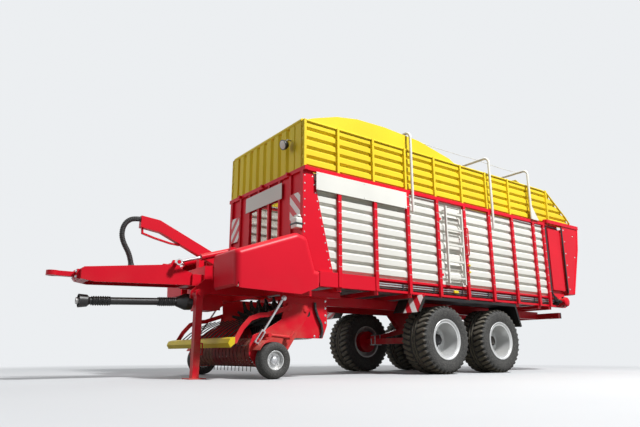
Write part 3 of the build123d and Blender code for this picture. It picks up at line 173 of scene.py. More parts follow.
class Graph:
    """Node tree of a material or of the world, built from expressions."""

    def __init__(self, owner: bpy.types.Material | bpy.types.World) -> None:
        """Starts with an empty tree.

        Args:
            owner: material or world that the tree belongs to.
        """
        self.owner = owner
        owner.use_nodes = True
        self.tree = owner.node_tree
        self.tree.nodes.clear()

    def node(self, kind: str, settings: dict, inputs: dict, output: int | str | None = 0) -> Sock | None:
        """Adds a node.

        Args:
            kind: type of the node.
            settings: its properties, set first.
            inputs: values or sockets by input number or name.
            output: number or name of the output wanted, or None.

        Returns:
            The chosen output.
        """
        made = self.tree.nodes.new(kind)
        for key, value in settings.items():
            setattr(made, key, value)
        for key, value in inputs.items():
            if isinstance(value, Sock):
                self.tree.links.new(value.socket, made.inputs[key])
            else:
                made.inputs[key].default_value = value
        return None if output is None else Sock(self, made.outputs[output])

    def math(self, operation: str, a: Value, b: Value) -> Sock:
        """Adds a Math node on two values."""
        return self.node("ShaderNodeMath", {"operation": operation}, {0: a, 1: b})

    def point(self) -> Sock:
        """Place on the piece, in the shared frame."""
        return self.node("ShaderNodeTexCoord", {}, {}, "Object")

    def axes(self, vector: Sock) -> tuple[Sock, Sock, Sock]:
        """Three parts of a vector.

        Args:
            vector: vector that is split.

        Returns:
            Its x, y and z.
        """
        split = self.node("ShaderNodeSeparateXYZ", {}, {0: vector})
        outputs = split.socket.node.outputs
        return tuple(Sock(self, outputs[i]) for i in range(3))

    def normal(self) -> Sock:
        """True normal of the face."""
        return self.node("ShaderNodeNewGeometry", {}, {}, "True Normal")

    def noise(self, scale: float, detail: float = 2.0, stretch: Sequence[float] = (1, 1, 1)) -> Sock:
        """Noise between about 0 and 1.

        Args:
            scale: bumps per metre.
            detail: octaves.
            stretch: factor on each axis of the place.

        Returns:
            The noise's value.
        """
        place = self.node("ShaderNodeMapping", {}, {"Vector": self.point(), "Scale": stretch})
        return self.node("ShaderNodeTexNoise", {}, {"Vector": place, "Scale": scale, "Detail": detail}, "Fac")

    def mix(self, factor: Value, a: Value, b: Value) -> Sock:
        """Colour between a and b.

        Args:
            factor: 0 for a and 1 for b.
            a: first colour.
            b: second colour.

        Returns:
            The mixed colour.
        """
        colours = [value if isinstance(value, Sock) else (*value, 1.0) for value in (a, b)]
        settings = {"data_type": "RGBA"}
        return self.node("ShaderNodeMix", settings, {0: factor, 6: colours[0], 7: colours[1]}, 2)

    def bump(self, height: Sock, distance: float, strength: float, under: Sock | None = None) -> Sock:
        """Normal tilted by a height in metres.

        Args:
            height: height between 0 and 1.
            distance: depth in metres of a height of 1.
            strength: share of the effect.
            under: normal that is tilted, or None for the surface's own.

        Returns:
            The new normal.
        """
        inputs = {"Height": height, "Distance": distance, "Strength": strength}
        if under is not None:
            inputs["Normal"] = under
        return self.node("ShaderNodeBump", {}, inputs)

    def soft_edge(self, radius: float) -> Sock:
        """Normal that rounds edges over a radius in metres."""
        return self.node("ShaderNodeBevel", {"samples": 4}, {"Radius": radius})

    def edge(self, rounded: Sock) -> Sock:
        """How far a rounded normal leaves the face's own, about 0 to 1 at an edge.

        Args:
            rounded: normal that is rounded at edges.

        Returns:
            About 0 on a face and 1 at an edge.
        """
        settings = {"operation": "DOT_PRODUCT"}
        along = self.node("ShaderNodeVectorMath", settings, {0: rounded, 1: self.normal()}, "Value")
        return (1 - along).ramp(0.01, 0.2)

    def seen(self) -> Sock:
        """1 for what the camera sees, straight or in metal and glass, 0 for what only lights the wagon.

        Returns:
            1 or 0 for each ray.
        """
        kinds = ("Camera", "Glossy", "Transmission")
        rays = [self.node("ShaderNodeLightPath", {}, {}, f"Is {kind} Ray") for kind in kinds]
        return self.math("MAXIMUM", rays[0], self.math("MAXIMUM", rays[1], rays[2]))

    def surface(self, **inputs: Value) -> bpy.types.Material:
        """Closes the graph with a Principled shader.

        Args:
            inputs: values or sockets by the shader's input name, with _ for a space.

        Returns:
            The material.
        """
        named = {key.replace("_", " "): value for key, value in inputs.items()}
        self.close(self.node("ShaderNodeBsdfPrincipled", {}, named))
        return self.owner

    def close(self, shader: Sock) -> None:
        """Links a shader to the output."""
        kind = "World" if isinstance(self.owner, bpy.types.World) else "Material"
        self.node(f"ShaderNodeOutput{kind}", {}, {0: shader}, None)


@dataclass(frozen=True)
class Finish:
    """Look of one material, made once."""

    slot: str
    colour: Colour

    def material(self) -> bpy.types.Material:
        """Material of this finish, built at its first use."""
        name = f"finish_{self.slot}"
        return bpy.data.materials.get(name) or self.build(Graph(bpy.data.materials.new(name)))

    def build(self, graph: Graph) -> bpy.types.Material:
        """Builds the node tree.

        Args:
            graph: empty graph of the material.

        Returns:
            The finished material.
        """
        raise NotImplementedError

    def shaded(self, share: float) -> Colour:
        """Colour times a share."""
        return tuple(part * share for part in self.colour)


FIELD_DUST: Colour = (0.36, 0.3, 0.2)


@dataclass(frozen=True)
class Enamel(Finish):
    """Sprayed paint with field dust on its upper and lower faces and paler edges."""

    roughness: float = 0.3
    dust: float = 0.35
    edge_colour: Colour = (0.5, 0.4, 0.36)
    edge_share: float = 0.35
    gloss: float = 0.16
    coat: float = 0.05
    metal: float = 0.0
    # Half width across the middle where painted shade replaces the paint (0 for none), and the near-black
    # colour of that painted shade.
    bare_half: float = 0.0
    bare: Colour = (0.02, 0.02, 0.022)
    shade: float = 0.88
    broad_scale: float = 0.9
    grain_scale: float = 45.0
    settled_scale: float = 2.6
    thrown_scale: float = 3.5
    thrown_height: tuple[float, float] = (0.1, 1.5)
    wear_scale: float = 14.0
    edge_radius: float = 0.004
    peel_scale: float = 260.0
    peel_deep: float = 0.0004
    coat_roughness: float = 0.3

    def build(self, graph: Graph) -> bpy.types.Material:
        """Paint that varies slowly, with a near-black painted shade across its middle where asked, with dust
        on it and worn edges.

        Args:
            graph: empty graph of the material.

        Returns:
            The finished paint.
        """
        broad = graph.noise(self.broad_scale, 3.0)
        grain = graph.noise(self.grain_scale, 4.0)
        _, across, height = graph.axes(graph.point())
        _, _, upward = graph.axes(graph.normal())
        settled = upward.ramp(0.3, 0.95) * graph.noise(self.settled_scale, 5.0).ramp(0.3, 0.75)
        low = 1 - height.ramp(*self.thrown_height)
        thrown = low * graph.noise(self.thrown_scale, 6.0).ramp(0.35, 0.8)
        film = ((settled + thrown) * self.dust * (0.55 + 0.9 * grain)).clamped()
        rounded = graph.soft_edge(self.edge_radius)
        worn = graph.edge(rounded) * graph.noise(self.wear_scale, 5.0).ramp(0.35, 0.7) * self.edge_share
        paint = graph.mix(broad.ramp(0.25, 0.75), self.colour, self.shaded(self.shade))
        # Painted shade: across the middle of the piece the paint gives way to near-black, standing in for the
        # shade under the hood.
        if self.bare_half:
            paint = graph.mix(across.size() > self.bare_half, self.bare, paint)
        paint = graph.mix(film, paint, FIELD_DUST)
        paint = graph.mix(worn.clamped(), paint, self.edge_colour)
        rough = (self.roughness + 0.1 * (grain - 0.5) + 0.4 * film + 0.2 * worn).clamped()
        peel = graph.bump(graph.noise(self.peel_scale, 2.0), self.peel_deep, 0.25, rounded)
        return graph.surface(Base_Color=paint, Roughness=rough, Metallic=self.metal, Normal=peel,
                             Specular_IOR_Level=self.gloss, Coat_Weight=self.coat,
                             Coat_Roughness=self.coat_roughness)


@dataclass(frozen=True)
class Moulded(Finish):
    """Moulded plastic with a fine grain."""

    roughness: float = 0.42
    grain: float = 0.0005
    grain_scale: float = 420.0
    dust: float = 0.3
    dust_scale: float = 4.0
    shade: float = 0.85
    shade_scale: float = 1.4
    edge_radius: float = 0.003
    ring: float = 0.0
    ring_deep: float = 0.006

    def build(self, graph: Graph) -> bpy.types.Material:
        """Plastic with pebbled grain, dulled by dust on its upper faces.

        Args:
            graph: empty graph of the material.

        Returns:
            The finished plastic.
        """
        _, _, upward = graph.axes(graph.normal())
        patches = graph.noise(self.dust_scale, 5.0).ramp(0.3, 0.8)
        film = (upward.ramp(0.2, 0.95) * patches * self.dust).clamped()
        paint = graph.mix(graph.noise(self.shade_scale, 3.0), self.colour, self.shaded(self.shade))
        paint = graph.mix(film, paint, FIELD_DUST)
        rough = (self.roughness + 0.12 * (graph.noise(30.0, 3.0) - 0.5) + 0.3 * film).clamped()
        rounded = graph.soft_edge(self.edge_radius)
        normal = graph.bump(graph.noise(self.grain_scale, 2.0), self.grain, 0.4, rounded)
        if self.ring:
            _, _, height = graph.axes(graph.point())
            wound = ((height / self.ring).fraction() - 0.5).size().ramp(0.05, 0.4)
            normal = graph.bump(wound, self.ring_deep, 0.9, normal)
        return graph.surface(Base_Color=paint, Roughness=rough, Normal=normal)


@dataclass(frozen=True)
class TyreRubber(Finish):
    """Black rubber with dried soil on the faces of its lugs."""

    soil: Colour = (0.23, 0.2, 0.15)
    scuffed: Colour = (0.085, 0.083, 0.078)
    roughness: float = 0.75
    fine_scale: float = 60.0
    patch_scale: float = 9.0
    skin_scale: float = 150.0
    skin_deep: float = 0.0012
    edge_radius: float = 0.005

    def build(self, graph: Graph) -> bpy.types.Material:
        """Dull rubber: scuffed sides, soil where the worn attribute marks a lug's face, dark gaps.

        Args:
            graph: empty graph of the material.

        Returns:
            The finished rubber.
        """
        worn = graph.node("ShaderNodeAttribute", {"attribute_name": "worn"}, {}, "Fac")
        fine = graph.noise(self.fine_scale, 5.0)
        sides = graph.mix(fine.ramp(0.3, 0.8), self.colour, self.scuffed)
        patches = 0.5 + 0.5 * graph.noise(self.patch_scale, 4.0).ramp(0.2, 0.7)
        dust = worn * (0.25 + 0.7 * fine) * patches + fine.ramp(0.55, 0.9) * 0.2
        colour = graph.mix(dust.clamped(), sides, self.soil)
        rough = (self.roughness + 0.2 * dust).clamped()
        rounded = graph.soft_edge(self.edge_radius)
        skin = graph.bump(graph.noise(self.skin_scale, 5.0), self.skin_deep, 0.5, rounded)
        return graph.surface(Base_Color=colour, Roughness=rough, Normal=skin)


@dataclass(frozen=True)
class Metal(Finish):
    """Bare or plated metal."""

    roughness: float = 0.4
    spangle: float = 0.0
    brushed: Sequence[float] = (1.0, 1.0, 1.0)
    stain: float = 0.2
    stained: Colour = (0.19, 0.13, 0.09)
    flake_scale: float = 55.0
    flake_shade: float = 0.7
    streak_scale: float = 70.0
    streak_deep: float = 0.0006
    stain_scale: float = 6.0
    edge_radius: float = 0.003

    def build(self, graph: Graph) -> bpy.types.Material:
        """Metal with crystal spangle, brushing or stains, as its numbers say.

        Args:
            graph: empty graph of the material.

        Returns:
            The finished metal.
        """
        place = {"Vector": graph.point(), "Scale": self.flake_scale}
        flakes = graph.node("ShaderNodeTexVoronoi", {}, place, "Color")
        flake, _, _ = graph.axes(flakes)
        streak = graph.noise(self.streak_scale, 5.0, self.brushed)
        stains = graph.noise(self.stain_scale, 6.0).ramp(0.45, 0.85) * self.stain
        colour = graph.mix((flake * self.spangle).clamped(), self.colour, self.shaded(self.flake_shade))
        colour = graph.mix(stains.clamped(), colour, self.stained)
        uneven = 0.18 * (streak - 0.5) + 0.12 * (flake - 0.5) * self.spangle
        rough = (self.roughness + uneven + stains * 0.5).clamped()
        metallic = (1 - stains * 1.5).clamped()
        normal = graph.bump(streak, self.streak_deep, 0.3, graph.soft_edge(self.edge_radius))
        return graph.surface(Base_Color=colour, Roughness=rough, Metallic=metallic, Normal=normal)


@dataclass(frozen=True)
class WarningStripes(Finish):
    """Red and white slanting stripes that fall outwards on both sides."""

    red: Colour = (0.6, 0.015, 0.03)
    pitch: float = 0.23
    roughness: float = 0.32
    scuff: float = 0.25
    scuff_scale: float = 25.0
    grain_scale: float = 300.0
    grain_deep: float = 0.0003

    def build(self, graph: Graph) -> bpy.types.Material:
        """Stripes from the height and the distance from the middle.

        Args:
            graph: empty graph of the material.

        Returns:
            The finished boards' face.
        """
        _, across, height = graph.axes(graph.point())
        band = ((height + across.size()) / self.pitch).fraction() > 0.5
        scuff = graph.noise(self.scuff_scale, 6.0).ramp(0.55, 0.85) * self.scuff
        colour = graph.mix(band, self.colour, self.red)
        colour = graph.mix(scuff.clamped(), colour, FIELD_DUST)
        rough = (self.roughness + 0.3 * scuff).clamped()
        grain = graph.bump(graph.noise(self.grain_scale), self.grain_deep, 0.2)
        return graph.surface(Base_Color=colour, Roughness=rough, Normal=grain)


@dataclass(frozen=True)
class Lens(Finish):
    """Ribbed lens of a lamp."""

    rib: float = 0.008
    rib_deep: float = 0.001
    shade: float = 0.7
    roughness: float = 0.16
    coat: float = 0.6
    coat_roughness: float = 0.05

    def build(self, graph: Graph) -> bpy.types.Material:
        """Glossy coloured plastic with fine ribs that cross.

        Args:
            graph: empty graph of the material.

        Returns:
            The finished lens.
        """
        _, across, height = graph.axes(graph.point())
        upright, level = (((way / self.rib).fraction() - 0.5).size() for way in (across, height))
        colour = graph.mix(graph.noise(12.0, 2.0), self.colour, self.shaded(self.shade))
        normal = graph.bump(upright + level, self.rib_deep, 0.6)
        rough = self.roughness + 0.05 * graph.noise(60.0, 2.0)
        return graph.surface(Base_Color=colour, Roughness=rough, Normal=normal,
                             Coat_Weight=self.coat, Coat_Roughness=self.coat_roughness)


RED: Colour = (0.71, 0.005, 0.022)
FINISHES: dict[str, Finish] = {
    finish.slot: finish
    for finish in (
        Enamel("red_paint", RED, roughness=0.36),
        Enamel("dark_red_paint", (0.24, 0.012, 0.014), roughness=0.5, dust=0.5, edge_share=0.7, coat=0.0),
        Enamel("yellow_paint", (0.79, 0.6, 0.026), roughness=0.4, dust=0.16, edge_colour=(0.8, 0.7, 0.3)),
        Enamel("white_paint", (0.74, 0.735, 0.69), roughness=0.42, dust=0.2, edge_colour=(0.8, 0.8, 0.76)),
        Enamel("silver_rim", (0.7, 0.71, 0.715), roughness=0.34, dust=0.16, edge_colour=(0.8, 0.8, 0.8),
               gloss=0.5, metal=0.4),
        Enamel("black_steel", (0.018, 0.018, 0.02), roughness=0.5, dust=0.22, edge_colour=(0.2, 0.2, 0.2)),
        Enamel("red_cover", (0.7, 0.006, 0.024), roughness=0.4, dust=0.14, edge_share=0.12, coat=0.08),
        Moulded("black_plastic", (0.016, 0.016, 0.017)),
        Moulded("white_plastic", (0.74, 0.74, 0.7), dust=0.15),
        Moulded("hose_rubber", (0.015, 0.015, 0.016), roughness=0.55, dust=0.15, ring=0.016),
        TyreRubber("tyre", (0.024, 0.0235, 0.023)),
        Metal("zinc", (0.56, 0.57, 0.58), roughness=0.42, spangle=0.6, stain=0.08),
        Metal("bare_steel", (0.42, 0.41, 0.4), roughness=0.4, brushed=(0.15, 1.0, 1.0), stain=0.4),
        Metal("chrome", (0.78, 0.78, 0.78), roughness=0.12, brushed=(0.2, 1.0, 1.0), stain=0.0),
        WarningStripes("hazard", (0.78, 0.78, 0.76)),
        Lens("lamp_red", (0.5, 0.01, 0.012)),
    )
}
# The press frame's middle, under the hood, is painted near-black as painted shade instead of red paint.
NODE_FINISHES: dict[str, Finish] = {"press_frame": Enamel("press_paint", RED, bare_half=0.93)}


@dataclass
class Studio:
    """Floor, lights and the camera of the photograph."""

    lens: float = 30.526
    sensor: float = 36.0
    clip_end: float = 300.0
    eye: Point = (7.571 + TANDEM_X, 7.237, 0.298)
    yaw: float = 234.044
    pitch: float = 14.603
    floor_half: float = 60.0
    pale: Colour = (0.56, 0.57, 0.58)
    worn: Colour = (0.53, 0.54, 0.55)
    ground: Colour = (0.1, 0.095, 0.065)
    backdrop: Colour = (0.84, 0.86, 0.88)
    sky_colour: Colour = (0.9, 0.95, 1.0)
    sky_strength: float = 0.3
    fade_near: float = 6.5
    fade_far: float = 11.0
    aim: Point = (0, 0, 1.8)
    lamps: tuple = (("key", (-2.0, 10.5, 14.0), 4000.0, 2.2), ("front", (12.0, -5.0, 6.0), 300.0, 5.0),
                    ("far", (-8.0, -12.0, 9.0), 700.0, 8.0))

    def camera(self) -> None:
        """Sets the camera where the photograph was taken."""
        data = bpy.data.cameras.new("photo_camera")
        data.lens = self.lens
        data.sensor_width = self.sensor
        data.clip_end = self.clip_end
        camera = bpy.data.objects.new("photo_camera", data)
        bpy.context.collection.objects.link(camera)
        yaw, pitch = math.radians(self.yaw), math.radians(self.pitch)
        look = Vector((math.cos(pitch) * math.cos(yaw), math.cos(pitch) * math.sin(yaw), math.sin(pitch)))
        camera.location = self.eye
        camera.rotation_euler = look.to_track_quat("-Z", "Y").to_euler()
        bpy.context.scene.camera = camera

    def lamp(self, name: str, place: Sequence[float], power: float, size: float) -> None:
        """Adds a soft square lamp that faces the wagon.

        Args:
            name: name of the lamp.
            place: where it stands.
            power: watts.
            size: length of a side.
        """
        data = bpy.data.lights.new(name, "AREA")
        data.energy = power
        data.size = size
        lamp = bpy.data.objects.new(name, data)
        bpy.context.collection.objects.link(lamp)
        lamp.location = place
        lamp.rotation_euler = (Vector(self.aim) - Vector(place)).to_track_quat("-Z", "Y").to_euler()

    def floor(self) -> None:
        """Lays a floor that is pale to the eye, keeps the wagon's shadow and fades into the backdrop."""
        graph = Graph(bpy.data.materials.new("pale_floor"))
        seen = graph.seen()
        pale = graph.mix(graph.noise(0.6, 3.0), self.pale, self.worn)
        colour = graph.mix(seen, self.ground, pale)
        lit = graph.node("ShaderNodeBsdfPrincipled", {}, {"Base Color": colour, "Roughness": 0.8})
        glow = graph.node("ShaderNodeEmission", {}, {0: (*self.backdrop, 1.0)})
        away = graph.node("ShaderNodeVectorMath", {"operation": "LENGTH"}, {0: graph.point()}, "Value")
        faded = away.ramp(self.fade_near, self.fade_far) * seen
        graph.close(graph.node("ShaderNodeMixShader", {}, {0: faded, 1: lit, 2: glow}))
        half = self.floor_half
        mesh = bpy.data.meshes.new("floor")
        corners = [(-half, -half, 0), (half, -half, 0), (half, half, 0), (-half, half, 0)]
        mesh.from_pydata(corners, [], [(0, 1, 2, 3)])
        mesh.materials.append(graph.owner)
        floor = bpy.data.objects.new("floor", mesh)
        bpy.context.collection.objects.link(floor)

    def sky(self) -> None:
        """Lights all round softly and shows a pale backdrop."""
        world = bpy.data.worlds.new("studio")
        bpy.context.scene.world = world
        graph = Graph(world)
        fill = graph.node("ShaderNodeBackground", {}, {0: (*self.sky_colour, 1.0), 1: self.sky_strength})
        backdrop = graph.node("ShaderNodeBackground", {}, {0: (*self.backdrop, 1.0)})
        graph.close(graph.node("ShaderNodeMixShader", {}, {0: graph.seen(), 1: fill, 2: backdrop}))

    def build(self) -> None:
        """Sets up the whole studio."""
        bpy.context.scene.view_settings.view_transform = "Standard"
        self.camera()
        self.floor()
        self.sky()
        for lamp in self.lamps:
            self.lamp(*lamp)
        LOG.info("studio is set")


@dataclass
class Paintwork:
    """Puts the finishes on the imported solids."""

    nodes: dict[str, bpy.types.Object]
    slots: dict[str, str]

    def dress(self) -> None:
        """Gives every solid the finish of its slot."""
        for name, node in self.nodes.items():
            material = NODE_FINISHES.get(name, FINISHES[self.slots[name]]).material()
            node.data.materials.clear()
            node.data.materials.append(material)
        LOG.info("%d solids painted", len(self.nodes))


def ahead(x: float, y: float, z: float) -> Point:
    """Point given from the tandem's middle, in the shared frame."""
    return (x + TANDEM_X, y, z)


def placed(places: Sequence[Point]) -> list[Point]:
    """Points given from the tandem's middle, in the shared frame."""
    return [ahead(*place) for place in places]


def ring(radius: float, sides: int) -> Array:
    """Outline of a round bar: points at equal turns about its middle."""
    turn = np.linspace(0.0, 2 * np.pi, sides, endpoint=False)
    return radius * np.stack([np.cos(turn), np.sin(turn)], axis=-1)


def oblong(low: Sequence[float], high: Sequence[float]) -> Array:
    """Outline of a flat bar: the four corners between two opposite ones."""
    return np.array([(low[0], low[1]), (high[0], low[1]), (high[0], high[1]), (low[0], high[1])])


def in_circle(radius: float, count: int, offset: float) -> Array:
    """Places at equal turns about the y axis: radius times cosine along x and times sine along z.

    Args:
        radius: radius of the circle.
        count: number of places.
        offset: y of all of them.

    Returns:
        The places, one in a row.
    """
    turn = np.linspace(0.0, 2 * np.pi, count, endpoint=False)
    return np.stack([radius * np.cos(turn), np.full(count, offset), radius * np.sin(turn)], axis=-1)


def way_along(line: Array) -> Array:
    """Way along a line up to each of its points: its steps' lengths added up."""
    return np.concatenate([[0.0], np.cumsum(np.linalg.norm(np.diff(line, axis=0), axis=1))])


def unit(vectors: Array) -> Array:
    """Vectors of length 1 along the given ones."""
    return vectors / np.linalg.norm(vectors, axis=-1, keepdims=True)


def rise(value: Array, low: float, high: float) -> Array:
    """0 below low, 1 above high and a smooth step between."""
    share = np.clip((value - low) / (high - low), 0.0, 1.0)
    return share * share * (3 - 2 * share)


@dataclass
class Skin:
    """Surface as arrays of points and four-cornered faces, with many-sided caps at open ends."""

    points: Array
    quads: Array
    caps: list[list[int]] = field(default_factory=list)

    @staticmethod
    def grid(surface: Array, around: bool = False, along: bool = False) -> Skin:
        """Skin over a surface given at the crossings of its two parameters.

        Args:
            surface: points by row and column.
            around: whether the last column meets the first.
            along: whether the last row meets the first.

        Returns:
            One face between each two rows and columns.
        """
        rows, columns = surface.shape[:2]
        index = np.arange(rows * columns).reshape(rows, columns)
        index = np.vstack([index, index[:1]]) if along else index
        index = np.hstack([index, index[:, :1]]) if around else index
        corners = [index[:-1, :-1], index[:-1, 1:], index[1:, 1:], index[1:, :-1]]
        return Skin(surface.reshape(-1, 3), np.stack(corners, axis=-1).reshape(-1, 4))

    @staticmethod
    def tube(rings: Array) -> Skin:
        """Closed skin through rings of points, capped at its first and last ring.

        Args:
            rings: points by ring and by place in the ring.

        Returns:
            The capped skin.
        """
        skin = Skin.grid(rings, around=True)
        count, sides = rings.shape[:2]
        last = (count - 1) * sides
        skin.caps = [list(range(sides))[::-1], list(range(last, last + sides))]
        return skin

    @staticmethod
    def sweep(profile: Array, path: Sequence[Point], up: Point = UPWARD, closed: bool = False) -> Skin:
        """Profile carried square along a path: path point plus profile x across and profile y upward.

        Args:
            profile: outline, x across the path and y towards up, one for all or one for each path point.
            path: points that the middle of the profile follows.
            up: a direction that the path never takes.
            closed: whether the path's end meets its start.

        Returns:
            The swept skin, capped where the path is open.
        """
        line = np.asarray(path, dtype=float)
        ends = (line[-1:], line[:1]) if closed else (2 * line[:1] - line[1:2], 2 * line[-1:] - line[-2:-1])
        wide = np.vstack([ends[0], line, ends[1]])
        forward = unit(unit(wide[1:-1] - wide[:-2]) + unit(wide[2:] - wide[1:-1]))
        across = unit(np.cross(forward, np.asarray(up, dtype=float)))
        above = np.cross(across, forward)
        shape = np.broadcast_to(profile, (len(line), *profile.shape[-2:]))[:, ::-1]
        rings = line[:, None] + shape[..., :1] * across[:, None] + shape[..., 1:] * above[:, None]
        return Skin.grid(rings, around=True, along=True) if closed else Skin.tube(rings)

    @staticmethod
    def turned(
        profile: Profile | Array, centre: Point, axis: Point, sides: int, closed: bool = False
    ) -> Skin:
        """Profile turned about an axis: centre plus the offset along the axis plus the radius across it.

        Args:
            profile: radius and offset from the centre, from one end to the other.
            centre: where the offset is 0.
            axis: direction of the axis.
            sides: steps of the turn.
            closed: whether the profile's end meets its start.

        Returns:
            The turned skin, capped at both ends unless it is closed.
        """
        shape = np.asarray(profile, dtype=float)
        forward = unit(np.asarray(axis, dtype=float))
        helper = UPWARD if abs(forward[2]) < 0.9 else FORWARD
        first = unit(np.cross(helper, forward))
        second = np.cross(forward, first)
        circle = ring(1.0, sides)
        spokes = circle[:, :1] * first + circle[:, 1:] * second
        rings = np.asarray(centre) + shape[:, 1, None, None] * forward + shape[:, 0, None, None] * spokes
        return Skin.grid(rings, around=True, along=True) if closed else Skin.tube(rings)

    @staticmethod
    def block(low: Point, high: Point, bevel: float) -> Skin:
        """Box with chamfered edges: four rings along x, the outer two drawn in by the bevel.

        Args:
            low: corner with the smallest x, y and z.
            high: corner with the largest.
            bevel: width of the chamfers.

        Returns:
            The closed box.
        """
        a, b = np.asarray(low, dtype=float), np.asarray(high, dtype=float)
        middle, half = (a + b) / 2, (b - a) / 2
        signs = np.array([(1, 1), (-1, 1), (-1, -1), (1, -1)])
        full = np.repeat(signs * half[1:], 2, axis=0)
        cut = np.array([(0, -1), (-1, 0)] * 4) * np.repeat(signs, 2, axis=0)
        cut[2:4] = cut[3:1:-1]
        cut[6:8] = cut[7:5:-1]
        outline = full + bevel * cut
        small = outline - bevel * np.sign(full)
        inner = half[0] - bevel
        stations = [(-half[0], small), (-inner, outline), (inner, outline), (half[0], small)]
        rings = [np.column_stack([np.full(8, x), shape]) + middle for x, shape in stations]
        return Skin.tube(np.asarray(rings))

    @staticmethod
    def join(skins: Sequence[Skin]) -> Skin:
        """Several skins as one.

        Args:
            skins: skins that are joined, in order.

        Returns:
            One skin with all their faces.
        """
        starts = np.cumsum([0] + [len(skin.points) for skin in skins[:-1]])
        caps = [[i + int(start) for i in cap] for skin, start in zip(skins, starts) for cap in skin.caps]
        quads = np.vstack([skin.quads + start for skin, start in zip(skins, starts)])
        return Skin(np.vstack([skin.points for skin in skins]), quads, caps)

    def stamped(self, places: Sequence[Point]) -> Skin:
        """Copies of this skin at several places.

        Args:
            places: how far each copy is moved.

        Returns:
            One skin with all the copies.
        """
        spots = np.asarray(places, dtype=float)
        count = len(self.points)
        steps = np.arange(len(spots)) * count
        points = (self.points[None] + spots[:, None]).reshape(-1, 3)
        quads = (self.quads[None] + steps[:, None, None]).reshape(-1, 4)
        caps = [[i + int(step) for i in cap] for step in steps for cap in self.caps]
        return Skin(points, quads, caps)

    def mirrored(self) -> Skin:
        """Mirror image on the other side of the wagon."""
        return Skin(self.points * (1, -1, 1), self.quads[:, ::-1], [cap[::-1] for cap in self.caps])

    def on(self, side: Side) -> Skin:
        """This skin for the left side, its mirror image for the right."""
        return self if side is Side.LEFT else self.mirrored()

    def both(self) -> Skin:
        """This skin and its mirror image."""
        return Skin.join([self, self.mirrored()])

    def mesh(self, name: str, slot: str, sharp: float = 40.0) -> bpy.types.Mesh:
        """Makes the Blender mesh.

        Args:
            name: name of the mesh.
            slot: material slot whose finish it takes.
            sharp: angle in degrees above which an edge stays sharp.

        Returns:
            The new mesh, smooth but for its sharp edges.
        """
        mesh = bpy.data.meshes.new(name)
        mesh.from_pydata(self.points.tolist(), [], self.quads.tolist() + self.caps)
        mesh.materials.append(FINISHES[slot].material())
        mesh.shade_smooth()
        mesh.set_sharp_from_angle(angle=math.radians(sharp))
        return mesh

    def piece(
        self, name: str, slot: str, body: str = "chassis", sharp: float = 40.0, worn: Array | None = None
    ) -> bpy.types.Object:
        """Makes the Blender piece.

        Args:
            name: name of the piece.
            slot: material slot whose finish it takes.
            body: body that it rides on.
            sharp: angle in degrees above which an edge stays sharp.
            worn: wear at each point between 0 and 1, or None for none.

        Returns:
            The new piece, at the origin.
        """
        mesh = self.mesh(name, slot, sharp)
        if worn is not None:
            layer = mesh.attributes.new("worn", "FLOAT", "POINT")
            layer.data.foreach_set("value", worn.astype(np.float32))
        made = bpy.data.objects.new(name, mesh)
        bpy.context.collection.objects.link(made)
        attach(made, body)
        LOG.info("%s: %d faces on %s", name, len(mesh.polygons), body)
        return made


def bar(path: Sequence[Point], radius: float, sides: int, up: Point = UPWARD) -> Skin:
    """Round bar along a path."""
    return Skin.sweep(ring(radius, sides), path, up)


def bolt(radius: float, high: float, axis: Point) -> Skin:
    """Bolt head on a washer at the origin, along an axis: a turned hexagon with a chamfered top."""
    shares = ((1.45, 0.0), (1.45, 0.2), (1.0, 0.2), (1.0, 0.85), (0.8, 1.0))
    return Skin.turned(np.array(shares) * (radius, high), ORIGIN, axis, sides=6)


